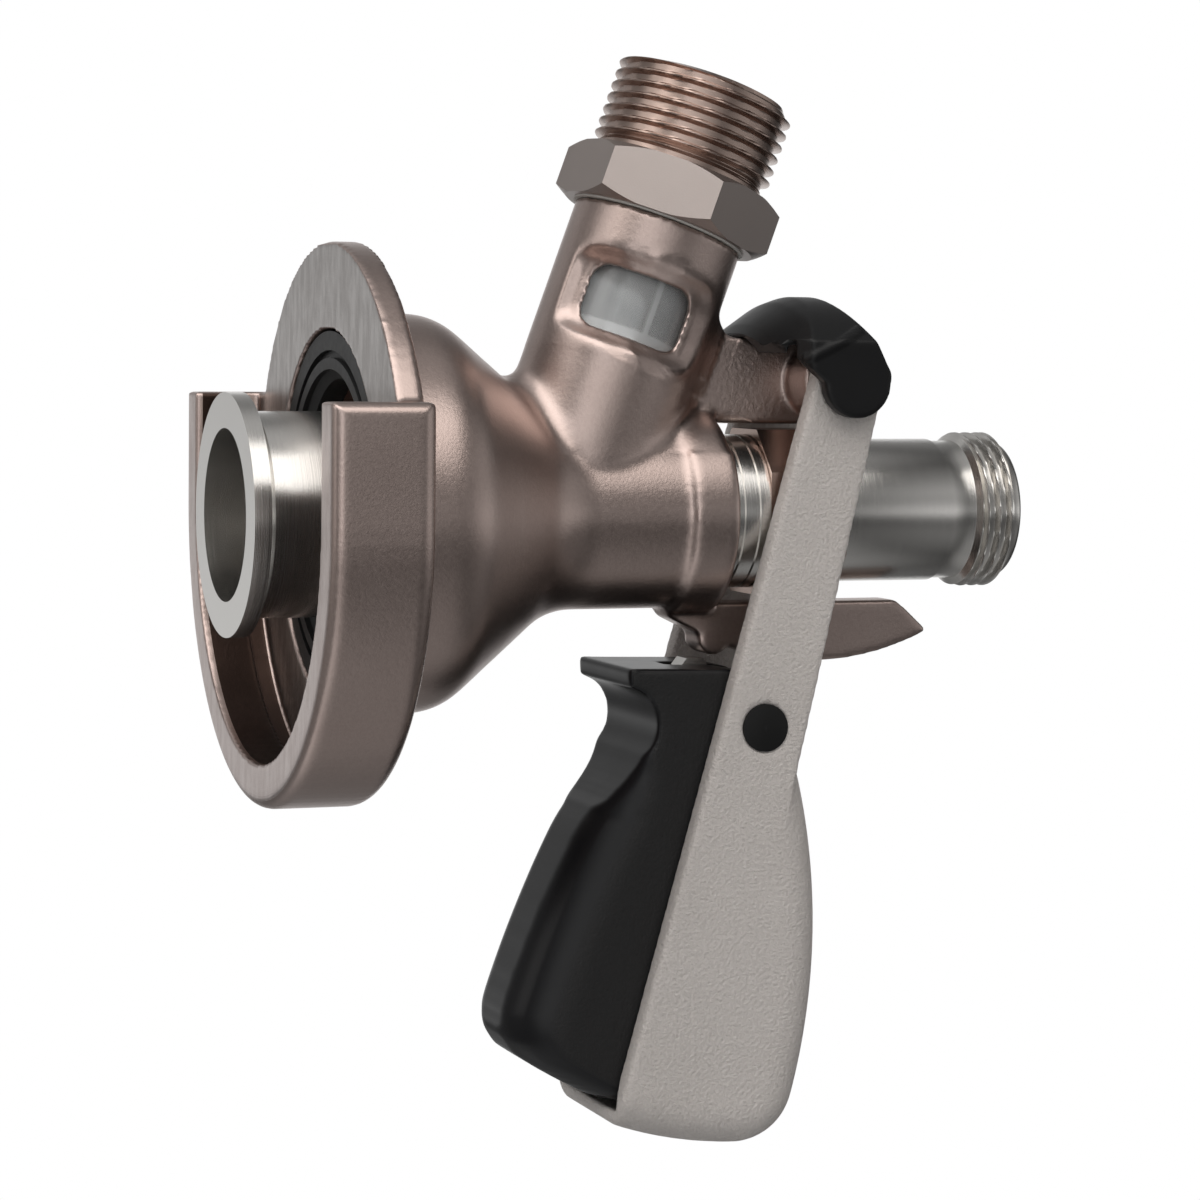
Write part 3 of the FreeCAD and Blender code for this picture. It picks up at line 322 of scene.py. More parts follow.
def tighten(point):
    """Turns the wide round at the rim's front into a tight one, and lowers the land to its level."""
    start = RIM_FRONT + WIDE_ROUND
    if point.z > start + TOUCH:
        return
    below = (start - point.z) / WIDE_ROUND
    reach = math.hypot(max(point.x, 0), point.y)
    beyond = reach - (RIM_RADIUS - WIDE_ROUND)
    if beyond < -TOUCH:
        point.z = start - below * (start - LAND_LEVEL)
        return
    wanted = RIM_RADIUS - TIGHT_ROUND + TIGHT_ROUND * beyond / WIDE_ROUND
    point.z = LAND_LEVEL + TIGHT_ROUND * (1 - below)
    point.y *= wanted / reach
    if point.x > 0:
        point.x *= wanted / reach


def round_leg(point):
    """Rounds the end of a leg towards its outer face."""
    side = math.copysign(1.0, point.y)
    down = LEG_END + TIGHT_ROUND - point.x
    out = side * point.y - (RIM_RADIUS - TIGHT_ROUND)
    far = math.hypot(down, out)
    if point.z < LEG_FRONT and down > 0 and out > 0 and far > TIGHT_ROUND:
        point.x = LEG_END + TIGHT_ROUND - down * TIGHT_ROUND / far
        point.y = side * (RIM_RADIUS - TIGHT_ROUND + out * TIGHT_ROUND / far)


casting = reworked("body_casting", "casting")
for vertex in casting.data.vertices:
    tighten(vertex.co)
for side, name in ((-1, "recess_near"), (1, "recess_far")):
    united(casting, recess(name, side), "DIFFERENCE")


def along_port(point):
    return (point - gas_root).dot(gas_axis)


def across_port(point):
    return (point - gas_root).dot(gas_across)


TUBE_WALL = (8.0 * MM, 14.0 * MM)


def turn_window(point):
    """Turns the part of the port's tube that holds a window about the port's axis."""
    along = along_port(point)
    start, full, last, end = WINDOW_SPAN
    across = across_port(point)
    angle = abs(math.atan2(across, abs(point.y)))
    reach = math.hypot(across, point.y)
    if not (start < along < end and TUBE_WALL[0] < reach < TUBE_WALL[1]):
        return
    share = min(1.0, (along - start) / (full - start), (end - along) / (end - last))
    narrow, wide = WINDOW_HALF
    share *= min(1.0, max(0.0, (wide - angle) / (wide - narrow)))
    turn = share * WINDOW_TURN * math.copysign(1.0, -point.y)
    level = gas_root + gas_axis * along
    point.xyz = level + Matrix.Rotation(turn, 3, gas_axis) @ (point - level)


MACHINED_LEVEL = 2.5 * MM
MACHINED_BORE = 12.9 * MM
MACHINED_BACK = -11 * MM
MACHINED_SHARE = 0.25
TUBE_FREE = 22 * MM
SHOULDER_LEVELS = (4 * MM, 22 * MM)
SHOULDER_RADIUS = 22 * MM
ROOT_LEVEL = 24 * MM
ROOT_SPAN = (-24 * MM, -9 * MM)


def forged(point):
    """How much a place is softened: the machined rim, face and bores and the recess keep their edges."""
    if point.z < MACHINED_LEVEL or along_port(point) > TUBE_FREE:
        return MACHINED_SHARE
    if math.hypot(point.x, point.y) < MACHINED_BORE and point.x > MACHINED_BACK:
        return MACHINED_SHARE
    return 1.0


def flowing(point):
    """Places that flow into each other: the shoulder, the roots of the port and the ear."""
    shoulder = (SHOULDER_LEVELS[0] < point.z < SHOULDER_LEVELS[1]
                and math.hypot(point.x, point.y) > SHOULDER_RADIUS)
    root = (point.z > ROOT_LEVEL and ROOT_SPAN[0] < point.x < ROOT_SPAN[1]
            and along_port(point) < TUBE_FREE)
    return 1.0 if shoulder or root else 0.0


cast(casting, 0.45 * MM, 10, forged)
cast_more(casting, 45, flowing)
for vertex in casting.data.vertices:
    round_leg(vertex.co)
    turn_window(vertex.co)


WALL_SPAN = (24 * MM, 37.5 * MM)
WALL_TOP = 12.1 * MM


def window_edge(point):
    """The walls of both recesses, below the tube's own surface."""
    reach = math.hypot(across_port(point), point.y)
    return 1.0 if WALL_SPAN[0] < along_port(point) < WALL_SPAN[1] and reach < WALL_TOP else 0.0


cast_more(casting, 14, window_edge)
FACED_BELOW = 0.6 * MM
FACE_ABOVE = -1.0 * MM
INSIDE_LEVELS = (-9.4 * MM, -0.6 * MM)
INSIDE_RADIUS = 38.6 * MM
blasted = Finish("blasted_plate", Metallic=1.0)
place = blasted.place()
x, y, z = blasted.apart(place)
normal_z = blasted.apart(blasted.place("Normal"))[2]
drift = blasted.noise(place, 60.0, 3.0)
fine = blasted.noise(place, 4200.0, 3.0, 0.6)
mottle = blasted.noise(place, 1900.0, 4.0, 0.7)
from_axis = (x * x + y * y) ** 0.5
turning = blasted.rings(from_axis, 5000.0)
wear = blasted.noise(blasted.scaled(place, (110.0, 420.0, 200.0)), 1.0, 6.0, 0.7)
faced = (normal_z < -0.93) * (z < FACED_BELOW)
keg_face = faced * (z > FACE_ABOVE)
plating = blasted.blend(drift * 0.45 + mottle * 0.55, (0.35, 0.268, 0.24), (0.6, 0.49, 0.45))
bare = blasted.blend(turning * 0.5 + blasted.within(wear, 0.42, 0.6) * 0.5,
                     (0.36, 0.33, 0.315), (0.7, 0.67, 0.65))
land = blasted.blend(turning * 0.5 + blasted.within(wear, 0.4, 0.65) * 0.5,
                     (0.5, 0.41, 0.38), (0.78, 0.7, 0.67))
# Painted shade: the inside of the rim's channel, between its legs, is coloured near black in place of the
# shade that falls there.
rim_channel_painted_shade = (z < INSIDE_LEVELS[1]) * (z > INSIDE_LEVELS[0]) * (from_axis < INSIDE_RADIUS) * (1 - faced)
tone = blasted.blend(keg_face, blasted.blend(faced, plating, land), bare)
tone = blasted.blend(rim_channel_painted_shade, tone, blasted.blend(drift, (0.03, 0.019, 0.015), (0.08, 0.053, 0.044)))
ear = blasted.within(z, 55 * MM, 60 * MM) * blasted.within(x * -1, 12 * MM, 15 * MM)
rough_skin = blasted.noise(place, 1500.0, 4.0, 0.65)
blasted.feed(Base_Color=tone, Roughness=0.24 + 0.14 * mottle + 0.04 * turning * faced,
             Normal=blasted.bump(fine * 0.3 + mottle * 0.7 + rough_skin * ear * 2.6
                                 + turning * faced * 0.5, 0.04 * MM))
clad(casting, blasted)
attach(casting, "body")
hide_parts("body_casting")


# The keg seal and the gland: black rubber rings, a pale plastic bush and its spring ring.
# The seal's top bead is all that shows of them, inside the round opening of the face.
def rubber(name, shade):
    finish = Finish(name, Roughness=0.5)
    place = finish.place()
    cloud = finish.noise(place, 900.0, 3.0)
    finish.feed(Base_Color=finish.blend(cloud, (shade * 0.8,) * 3, (shade * 1.3,) * 3),
                Roughness=0.42 + 0.16 * cloud,
                Normal=finish.bump(finish.noise(place, 4000.0), 0.00001))
    return finish


seal_rubber = rubber("seal_rubber", 0.012)
for node in ("keg_seal", "gland_o_rings", "glass_seals", "check_valve"):
    dress(node, seal_rubber)


def plain_plastic(name, colour, rough=0.45, grain=0.000008):
    finish = Finish(name, Specular_IOR_Level=0.28)
    place = finish.place()
    cloud = finish.noise(place, 300.0, 3.0)
    finish.feed(Base_Color=finish.blend(cloud, tuple(0.92 * part for part in colour), colour),
                Roughness=rough + 0.1 * cloud,
                Normal=finish.bump(finish.noise(place, 3500.0, 3.0), grain))
    return finish


pale_bush = plain_plastic("pale_bush", (0.72, 0.7, 0.66))
for node in ("gland_bush", "hinge_bushes"):
    dress(node, pale_bush)


# The gas port: a turned and plated nipple with a hexagon for the spanner and a thread for
# the hose nut, screwed into the casting's leaning tube over a thin washer.
PITCH = 1.814 * MM
THREAD_FLOOR = 0.24
THREAD_FLANK = 0.2


def bar(name, rings, segments=128, ridge=None):
    """A turned piece about +Z from (radius, height) rings. ridge(angle, height) is added to the radius."""
    mesh = bmesh.new()
    loops = []
    for radius, height in rings:
        loop = []
        for step in range(segments):
            angle = math.tau * step / segments
            reach = radius + (ridge(angle, height) if ridge else 0.0)
            loop.append(mesh.verts.new((reach * math.cos(angle), reach * math.sin(angle), height)))
        loops.append(loop)
    for low, high in zip(loops, loops[1:] + loops[:1]):
        for step in range(segments):
            after = (step + 1) % segments
            mesh.faces.new((low[step], low[after], high[after], high[step]))
    return settle(name, mesh)


def settle(name, mesh, sharp=math.radians(32)):
    """A smooth piece from a mesh, with edges sharper than an angle kept."""
    bmesh.ops.remove_doubles(mesh, verts=mesh.verts, dist=0.4e-6)
    bmesh.ops.dissolve_degenerate(mesh, edges=mesh.edges, dist=0.4e-6)
    bmesh.ops.recalc_face_normals(mesh, faces=mesh.faces)
    piece = set_out(name, mesh)
    piece.data.shade_smooth()
    piece.data.set_sharp_from_angle(angle=sharp)
    return piece


def thread(low, high, depth, fade):
    """The cut below the crests of a thread from low to high, as a change of radius that fades at both ends.

    THREAD_FLOOR is half of the groove's floor and THREAD_FLANK its flank, as shares of the pitch.
    """
    def ridge(angle, height):
        if not low <= height <= high:
            return 0.0
        turn = (height / PITCH - angle / math.tau) % 1.0
        shape = min(1.0, max(0.0, (abs(turn - 0.5) - THREAD_FLOOR) / THREAD_FLANK))
        run = min(1.0, (height - low) / fade, (high - height) / fade)
        return -depth * (1 - shape) * max(0.0, run)
    return ridge


gas_turn = gas_axis.to_track_quat("Z", "Y").to_matrix().to_4x4()
GAS = Matrix.Translation(gas_root) @ gas_turn
HEX_LOW = 43.85 * MM
HEX_HIGH = 51.9 * MM
HEX_FLATS = 28 * MM
HEX_CROWN = 14.2 * MM
HEX_SLOPE = 0.62
HEX_TURN = math.radians(95)
HEX_POINTS = 180
WASHER_LOW = 43.65 * MM
WASHER_RADII = (10.1 * MM, 12.9 * MM)
PORT_END = 65.4 * MM
CREST = gas["dims"]["r_mm"] * MM
BORE = 8.5 * MM
BORE_LIP = 9.4 * MM

thread_low = HEX_HIGH + 1.1 * MM
thread_high = PORT_END - 0.5 * MM
turns = [thread_low + (thread_high - thread_low) * step / 110 for step in range(111)]
neck_radius = CREST - 1.25 * MM
port_rings = [(BORE, HEX_LOW + 0.5 * MM), (CREST - 0.3 * MM, HEX_LOW + 0.5 * MM),
              (neck_radius, HEX_HIGH - 0.5 * MM), (neck_radius, thread_low - 0.1 * MM)]
port_rings += [(min(CREST, CREST - 1.0 * MM + (height - turns[0]) * 1.2,
                    CREST - 0.7 * MM + (PORT_END - height)), height) for height in turns]
port_rings += [(CREST - 1.3 * MM, PORT_END), (BORE_LIP, PORT_END), (BORE, PORT_END - 0.8 * MM)]
port_thread = bar("port_thread", port_rings, 144,
                  thread(thread_low, thread_high + PITCH, 1.1 * MM, 0.5 * MM))
port_thread.data.transform(GAS)


def hexagon(name, flats, low, high, crown, slope, bore):
    """A hexagonal flange whose corners are turned down to a crown at both ends."""
    mesh = bmesh.new()
    columns = []
    for step in range(HEX_POINTS):
        angle = math.tau * step / HEX_POINTS
        lean = (angle + math.pi / 6) % (math.pi / 3) - math.pi / 6
        reach = flats / 2 / math.cos(lean)
        drop = max(0.0, reach - crown) * slope
        rim = min(reach, crown)
        way = Vector((math.cos(angle), math.sin(angle), 0))
        section = ((bore, low), (rim, low), (reach, low + drop),
                   (reach, high - drop), (rim, high), (bore, high))
        columns.append([mesh.verts.new(way * radius + Vector((0, 0, height)))
                        for radius, height in section])
    for first, second in zip(columns, columns[1:] + columns[:1]):
        for row in range(6):
            after = (row + 1) % 6
            mesh.faces.new((first[row], second[row], second[after], first[after]))
    return settle(name, mesh, math.radians(20))


port_hexagon = hexagon("port_hexagon", HEX_FLATS, HEX_LOW, HEX_HIGH, HEX_CROWN, HEX_SLOPE, 9.0 * MM)
port_hexagon.data.transform(GAS @ Matrix.Rotation(HEX_TURN, 4, "Z"))
edge = port_hexagon.modifiers.new("worn edges", "BEVEL")
edge.width = 0.16 * MM
edge.segments = 2
edge.limit_method = "ANGLE"
edge.angle_limit = math.radians(20)

turned_plate = plate("turned_plate", (0.44, 0.335, 0.29), 0.2, 0.000008)
spanner_plate = plate("spanner_plate", (0.43, 0.375, 0.35), 0.38, 0.000012)
washer = bar("washer", [(WASHER_RADII[0], WASHER_LOW), (WASHER_RADII[1], WASHER_LOW),
                        (WASHER_RADII[1], HEX_LOW), (WASHER_RADII[0], HEX_LOW)])
washer.data.transform(GAS)
clad(washer, plain_plastic("pale_washer", (0.66, 0.65, 0.62), 0.6, 0.00002))
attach(washer, "body")
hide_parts("port_washer")
for piece, finish in ((port_thread, turned_plate), (port_hexagon, spanner_plate)):
    clad(piece, finish)
    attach(piece, "body")
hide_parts("port_nipple")


# The sight glass in the port's window: a tube that has turned milky, between two seals.
# A painted highlight runs along its middle as a pale line, and its end next to the casting's root is
# clearer.
GLASS_HIGHLIGHT_PLACE = 0.35 * MM
HIGHLIGHT_HALF = (0.25 * MM, 0.6 * MM)
GLASS_CLEAR = 27.2 * MM
CLEAR_FADE = 0.5 * MM
glass = Finish("sight_glass_milky", IOR=1.47, Transmission_Weight=0.72)
place = glass.place()
haze = glass.noise(place, 260.0, 3.0)
from_root = glass.node("ShaderNodeVectorMath", {"operation": "SUBTRACT"}, {0: place, 1: tuple(gas_root)})
# Painted highlight: a pale line along the glass's middle, coloured in place of a reflection on the tube.
painted_highlight_line = 1 - glass.within(abs(glass.dot(from_root, gas_across) - GLASS_HIGHLIGHT_PLACE), *HIGHLIGHT_HALF)
clear_end = 1 - glass.within(glass.dot(from_root, gas_axis), GLASS_CLEAR, GLASS_CLEAR + CLEAR_FADE)
milk = glass.blend(haze, (0.5, 0.51, 0.51), (0.74, 0.75, 0.75))
milk = glass.blend(painted_highlight_line, milk, (0.95, 0.97, 0.97))
glass.feed(Base_Color=glass.blend(clear_end, milk, (0.97, 0.98, 0.98)), Roughness=0.12 + 0.12 * haze)
dress("sight_glass", glass)


# The probe: a turned stainless tube that slides through the neck, with a block for the
# handle's pins and the outlet for the drink line. It is ground, so it shows fine rings.
BORE_WALL = 10.6 * MM


def turned_steel(name, colour, rough):
    """Ground steel with fine rings about Z, dull inside the probe's foot."""
    finish = Finish(name)
    place = finish.place()
    x, y, z = finish.apart(place)
    bore = ((x * x + y * y) ** 0.5 < BORE_WALL) * (z < 0)
    rings = finish.noise(finish.scaled(place, (40.0, 40.0, 9000.0)), 1.0, 3.0, 0.6)
    drift = finish.noise(place, 90.0, 3.0)
    tone = finish.blend(rings * 0.6 + drift * 0.4, tuple(0.86 * part for part in colour), colour)
    finish.feed(Base_Color=tone, Roughness=rough + 0.1 * rings + 0.4 * bore, Metallic=1 - 0.7 * bore,
                Normal=finish.bump(rings, 0.000012))
    return finish


stainless = turned_steel("turned_stainless", (0.74, 0.72, 0.69), 0.18)
for node in ("probe_tube", "hinge_pin", "trigger_pin", "trunnion_pins", "gland_circlip",
             "valve_ring", "trigger_spring"):
    dress(node, stainless)
dress("trunnion_block", turned_plate)

outlet = mounts["product_outlet"]
OUTLET_CREST = outlet["dims"]["r_mm"] * MM
low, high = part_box("outlet_pipe")
OUTLET_END = high.z
OUTLET_LOW = low.z
OUTLET_BORE = 8.0 * MM
SHANK_RADIUS = 9.3 * MM
PIPE_RADIUS = 10.5 * MM
PIPE_LOW = 74.9 * MM
LIP_RADIUS = 10.25 * MM
LIP_HIGH = 1.2 * MM
LIP_WIDE = 1.1 * MM
coil_low = 95.9 * MM
coil_high = 101.4 * MM
coils = [coil_low + (coil_high - coil_low) * step / 54 for step in range(55)]
outlet_rings = [(OUTLET_BORE, OUTLET_LOW), (SHANK_RADIUS, OUTLET_LOW), (SHANK_RADIUS, PIPE_LOW),
                (PIPE_RADIUS, PIPE_LOW), (PIPE_RADIUS, 92.0 * MM),
                (10.2 * MM, 92.5 * MM), (10.2 * MM, 94.7 * MM)]
outlet_rings += [(min(OUTLET_CREST, 10.3 * MM + (height - coil_low) * 1.6), height) for height in coils]
outlet_rings += [(10.3 * MM, 101.6 * MM), (LIP_RADIUS, OUTLET_END - LIP_HIGH)]
for step in range(1, 6):
    angle = math.pi / 2 * step / 5
    outlet_rings.append((LIP_RADIUS - LIP_WIDE * (1 - math.cos(angle)),
                         OUTLET_END - LIP_HIGH + LIP_HIGH * math.sin(angle)))
outlet_rings += [(8.3 * MM, OUTLET_END), (OUTLET_BORE, OUTLET_END - 0.5 * MM)]
outlet_thread = bar("outlet_thread", outlet_rings, 128,
                    thread(coil_low + 0.6 * MM, coil_high, 1.0 * MM, 0.4 * MM))
clad(outlet_thread, stainless)
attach(outlet_thread, "probe")
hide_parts("outlet_pipe")


# The handle: a forked aluminium casting with a coarse grain all over, which
# turns on the hinge pin between the casting's ears.
handle = reworked("handle_frame", "handle")
cast(handle, 0.5 * MM, 14)
handle_grain = Finish("grained_aluminium", Metallic=0.1)
place = handle_grain.place()
pits = handle_grain.noise(place, 1800.0, 6.0, 0.66)
cloud = handle_grain.noise(place, 60.0, 3.0)
tone = handle_grain.blend(pits * 0.7 + cloud * 0.3, (0.55, 0.505, 0.47), (0.93, 0.875, 0.84))
handle_grain.feed(Base_Color=tone, Roughness=0.34 + 0.2 * pits,
                  Normal=handle_grain.bump(pits, 0.7 * MM))
clad(handle, handle_grain)
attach(handle, "handle")
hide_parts("handle_frame")


# The trigger: a black moulding in the handle's channel, glossy where the fingers close round
# it and finely grained on its flat sides, with a steel latch bar.
trigger = reworked("trigger", "squeeze_trigger")
cast(trigger, 0.42 * MM, 3)
FINGER_ROUND = 8.0 * MM
FRONT_SHIFT = 1.4 * MM
FRONT_DEPTH = 9.0 * MM
BEAK_LOW = 32.0 * MM
BLEND_LONG = 11.0 * MM
WALL = 2.0 * MM
TOE_HIGH = 80.0 * MM
TOE_BLEND = 9.0 * MM
MIDDLE_HALF = 1.2 * MM
NEAR_ROWS = 1.5
EVEN_ROWS = 6.0
half_wide = max(vertex.co.y for vertex in trigger.data.vertices)
fronts = {}
for vertex in trigger.data.vertices:
    if abs(vertex.co.y) < MIDDLE_HALF:
        row = round(vertex.co.x / MM)
        fronts[row] = min(fronts.get(row, 1.0), vertex.co.z)


def front(height, spread):
    """Where the trigger's front stands at a height, evened out over a spread of rows 1 mm apart."""
    middle = min(max(height / MM, min(fronts)), max(fronts))
    rows = [row for row in fronts if abs(row - middle) < spread]
    shares = [1.0 - abs(row - middle) / spread for row in rows]
    return sum(fronts[row] * share for row, share in zip(rows, shares)) / sum(shares)


for vertex in trigger.data.vertices:
    point = vertex.co
    below_beak = min(1.0, max(0.0, (point.x - BEAK_LOW) / BLEND_LONG))
    depth = point.z - front(point.x, NEAR_ROWS)
    even = front(point.x, EVEN_ROWS) - front(point.x, NEAR_ROWS)
    above_toe = min(1.0, max(0.0, (TOE_HIGH - point.x) / TOE_BLEND))
    near = max(0.0, 1.0 - max(0.0, depth) / FRONT_DEPTH) * above_toe
    point.z += (even * below_beak - FRONT_SHIFT) * near
    round_off = FINGER_ROUND * below_beak
    inward = round_off - depth
    aside = round_off - (half_wide - abs(point.y))
    far = math.hypot(inward, aside)
    deep = min(depth, half_wide - abs(point.y)) > WALL / 2
    limit = max(0.0, round_off - (WALL if deep else 0.0))
    if inward > 0 and aside > 0 and far > limit:
        point.z += inward * (1 - limit / far)
        point.y -= math.copysign(aside * (1 - limit / far), point.y)
cast_more(trigger, 8)
trigger.data.shade_smooth()
black = Finish("black_moulding", Specular_IOR_Level=0.28)
place = black.place()
flat_side = black.within(abs(black.apart(black.place("Normal"))[1]), 0.93, 0.985)
grain = black.noise(place, 2600.0, 3.0, 0.6)
cloud = black.noise(place, 200.0, 3.0)
black.feed(Base_Color=black.blend(flat_side, (0.005, 0.005, 0.006), (0.014, 0.0138, 0.014)),
           Roughness=0.3 + 0.06 * cloud + flat_side * 0.16,
           Normal=black.bump(grain * flat_side, 0.12 * MM))
clad(trigger, black)
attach(trigger, "trigger")
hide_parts("trigger")
dress("trigger_pin_plugs", plain_plastic("black_plug", (0.006, 0.006, 0.006), 0.4))
dress("latch_pawl", stainless)


# The hinge cap: a smooth black moulding over the ears and the handle's eyes, closed over
# the casting's ear.
cap = reworked("hinge_cap", "saddle_cap")
# CAP_SIDE's pairs are height under the crown and place along the probe, and all of these are in mm.
CAP_SIDE = ((-0.6, 71.8), (0.4, 67.2), (3.6, 62.6), (4.2, 62.6), (4.2, 73.2), (0.0, 73.2))
CAP_BASE = 4.2
CAP_DEEP = 6.0
EAR_TOP = -25.3
EYE_TOP = -24.3
EAR_HALF = 10
FILLER_TOP = -31.3
FILLER_BEND = 50.0
FILLER_STEP = 1.8
filler_loops = []
for step in range(-8, 9):
    y = step * FILLER_STEP
    top = FILLER_TOP + y * y / FILLER_BEND
    base = EAR_TOP if abs(y) < EAR_HALF else EYE_TOP
    share = (base - top) / CAP_DEEP
    filler_loops.append([Vector((base - (CAP_BASE - x) * share, y, z)) * MM for x, z in CAP_SIDE])
united(cap, loft("cap_filler", filler_loops), "UNION")
cast(cap, 0.3 * MM, 4)
CROWN_TOP = -31.8 * MM
CROWN_BEND = 68.0 * MM
CROWN_DROPS = ((58.0, 9.0), (62.6, 4.6), (67.2, 1.4), (70.0, 0.4), (71.8, 0.0), (90.0, 0.0))
REAR_WAY = Vector((-0.442, 0.897))
REAR_REACH = 5.2 * MM
REAR_FADE = 3.0 * MM
DISC = Vector((-18.8, 73.4)) * MM
DISH_RADIUS = 3.4 * MM
DISH_DEEP = 0.3 * MM
DISH_SIDE = 18.4 * MM
RIDGE_FRONT = Vector((-22.3, 65.5)) * MM
RIDGE_BACK = Vector((-26.6, 74.5)) * MM
RIDGE_HALF = 0.7 * MM
RIDGE_HIGH = 0.35 * MM
RIDGE_SIDE = 12 * MM


def crown(point):
    """The highest place the cap reaches over a point: an arch that slopes down to both ends."""
    level = point.z / MM
    for (low, drop), (high, after) in zip(CROWN_DROPS, CROWN_DROPS[1:]):
        if low <= level <= high:
            below = drop + (after - drop) * (level - low) / (high - low)
            return CROWN_TOP + point.y ** 2 / CROWN_BEND + below * MM
    return CROWN_TOP


for vertex in cap.data.vertices:
    point = vertex.co
    point.x = max(point.x, crown(point))
    beyond = (Vector((point.x, point.z)) - DISC).dot(REAR_WAY) - REAR_REACH
    if beyond > 0:
        share = min(1.0, max(0.0, (DISC.x - point.x) / REAR_FADE))
        point.x -= REAR_WAY.x * beyond * share
        point.z -= REAR_WAY.y * beyond * share
cast_more(cap, 6)
ridge_way = (RIDGE_BACK - RIDGE_FRONT).normalized()
for vertex in cap.data.vertices:
    flat = Vector((vertex.co.x, vertex.co.z))
    off = abs((flat - RIDGE_FRONT).cross(ridge_way)) / RIDGE_HALF
    along = (flat - RIDGE_FRONT).dot(ridge_way)
    if abs(vertex.co.y) > RIDGE_SIDE and off < 1 and 0 < along < (RIDGE_BACK - RIDGE_FRONT).length:
        vertex.co += vertex.normal * RIDGE_HIGH * (1 - off * off)
    dish = (flat - DISC).length / DISH_RADIUS
    if abs(vertex.co.y) > DISH_SIDE and dish < 1:
        vertex.co.y -= math.copysign(DISH_DEEP * (1 - dish ** 4), vertex.co.y)
cap.data.shade_smooth()
clad(cap, plain_plastic("cap_black", (0.006, 0.006, 0.0065), 0.34, 0.000004))
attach(cap, "body")
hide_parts("hinge_cap")


# The studio: a white room behind the object, soft lamps on the camera's side and a pale floor
# well away on the keg's side. The camera stands where the photograph's stood.
TURN, RAISE, ROLL = (math.radians(angle) for angle in (19.909, 2.771, 0.523))
AWAY = 522.579 * MM
AIM = Vector((0, 0, 42 * MM))
PICTURE = 1200.0
FOCAL = 3621.416 / PICTURE
SLIP = (7.519 / PICTURE, -88.226 / PICTURE)
SENSOR = 36.0

forward = Vector((math.sin(RAISE), math.cos(TURN) * math.cos(RAISE), math.sin(TURN) * math.cos(RAISE)))
right = Vector((0, -math.sin(TURN), math.cos(TURN)))
up = right.cross(forward)
right, up = right * math.cos(ROLL) + up * math.sin(ROLL), up * math.cos(ROLL) - right * math.sin(ROLL)
eye = bpy.data.cameras.new("camera")
eye.sensor_width = SENSOR
eye.lens = SENSOR * FOCAL
eye.shift_x = -SLIP[0]
eye.shift_y = SLIP[1]
eye.clip_start = 0.01


def standing(place, axes):
    """The matrix of something that stands in a place, from the directions of its own three axes."""
    return Matrix.Translation(place) @ Matrix(axes).transposed().to_4x4()


camera = bpy.data.objects.new("camera", eye)
camera.matrix_world = standing(AIM - AWAY * forward, (right, up, -forward))
bpy.context.scene.collection.objects.link(camera)
bpy.context.scene.camera = camera


LAMP_AIM = Vector((20 * MM, 0, 40 * MM))


def lamp(name, turn, rise, away, wide, tall, glow, tint):
    """A soft lamp aimed at the object, turned to the right of the camera and risen above it in degrees."""
    light = bpy.data.lights.new(name, "AREA")
    light.shape = "RECTANGLE"
    light.size = wide
    light.size_y = tall
    light.energy = glow * math.pi * wide * tall
    light.color = tint
    piece = bpy.data.objects.new(name, light)
    turn, rise = math.radians(turn), math.radians(rise)
    level = right * math.sin(turn) * math.cos(rise) - forward * math.cos(turn) * math.cos(rise)
    stand = level + up * math.sin(rise)
    broad = up.cross(stand).normalized()
    piece.matrix_world = standing(LAMP_AIM + away * stand, (broad, stand.cross(broad), stand))
    bpy.context.scene.collection.objects.link(piece)


lamp("lamp_top", -6, 54, 1.2, 2.0, 1.0, 1.6, (1.0, 0.97, 0.94))
lamp("lamp_left", -66, 20, 1.2, 0.6, 0.9, 0.7, (1.0, 0.98, 0.96))

room = bpy.data.worlds.new("room")
bpy.context.scene.world = room
room.use_nodes = True


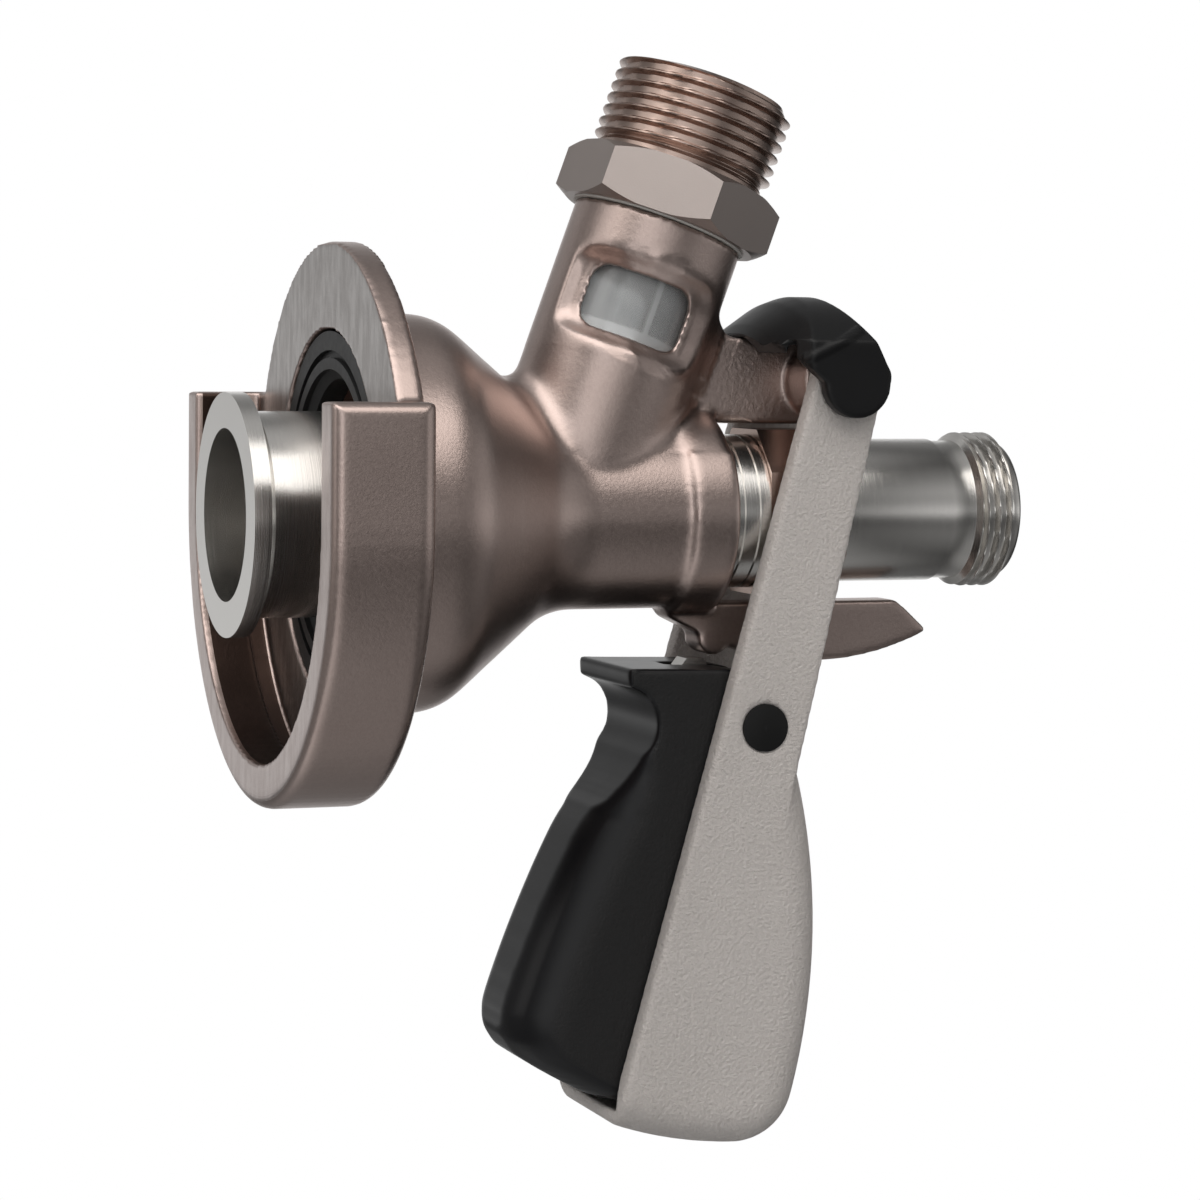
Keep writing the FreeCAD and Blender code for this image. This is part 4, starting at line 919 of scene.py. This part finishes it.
class Room(Finish):
    """The world's nodes, made by the same methods as a finish's."""

    def __init__(self, world):
        self.tree = world.node_tree
        self.shader = self.tree.nodes["Background"]


walls = Room(room)
heading = walls.place("Generated")


def toward(direction):
    """How far each way of the room points along a direction, from 0 for against it to 1 for along it."""
    return walls.dot(heading, direction) * 0.5 + 0.5


def greys(direction, *stops):
    """The room's grey from its level at places along a direction."""
    return walls.ramp(toward(direction), *((position, (level,) * 3) for position, level in stops))


ROOM_LEVEL = 2.3
rise = greys(up, (0.0, 0.2), (0.1, 0.36), (0.26, 0.3), (0.36, 0.14), (0.42, 0.3), (0.46, 1.0),
             (0.54, 0.6), (0.6, 0.42), (0.68, 0.6), (0.85, 0.4), (1.0, 0.3))
across = greys(right, (0.0, 1.0), (0.25, 1.0), (0.5, 0.85), (0.7, 0.4), (0.82, 0.1), (0.9, 0.2), (1.0, 0.4))
behind = greys(forward, (0.0, 1.0), (0.58, 1.0), (0.78, 0.3), (1.0, 0.36))
shade = walls.scaled(walls.scaled(walls.scaled(rise, across), behind), (ROOM_LEVEL,) * 3)
BACKDROP = (0.95, 0.985)
rays = {name: walls.node("ShaderNodeLightPath", output=f"Is {name} Ray")
        for name in ("Camera", "Transmission", "Glossy")}
backdrop = walls.within(toward(forward), *BACKDROP)
seen = walls.node("ShaderNodeMath", {"operation": "ADD", "use_clamp": True},
                  {0: rays["Camera"] + rays["Transmission"], 1: rays["Glossy"] * backdrop})
walls.feed(Color=walls.blend(seen, shade, (1.0, 1.0, 1.0)))

FLOOR = -1300 * MM
REACH = 1.6
spread = bmesh.new()
bmesh.ops.create_grid(spread, x_segments=8, y_segments=8, size=REACH)
bmesh.ops.translate(spread, verts=spread.verts, vec=(0, 0, FLOOR))
floor = settle("floor", spread)
pale = Finish("pale_floor", Roughness=0.8)
mist = pale.noise(pale.place(), 6.0)
pale.feed(Base_Color=pale.blend(mist, (0.84, 0.84, 0.84), (0.88, 0.88, 0.88)))
clad(floor, pale)

bpy.context.scene.view_settings.view_transform = "Standard"
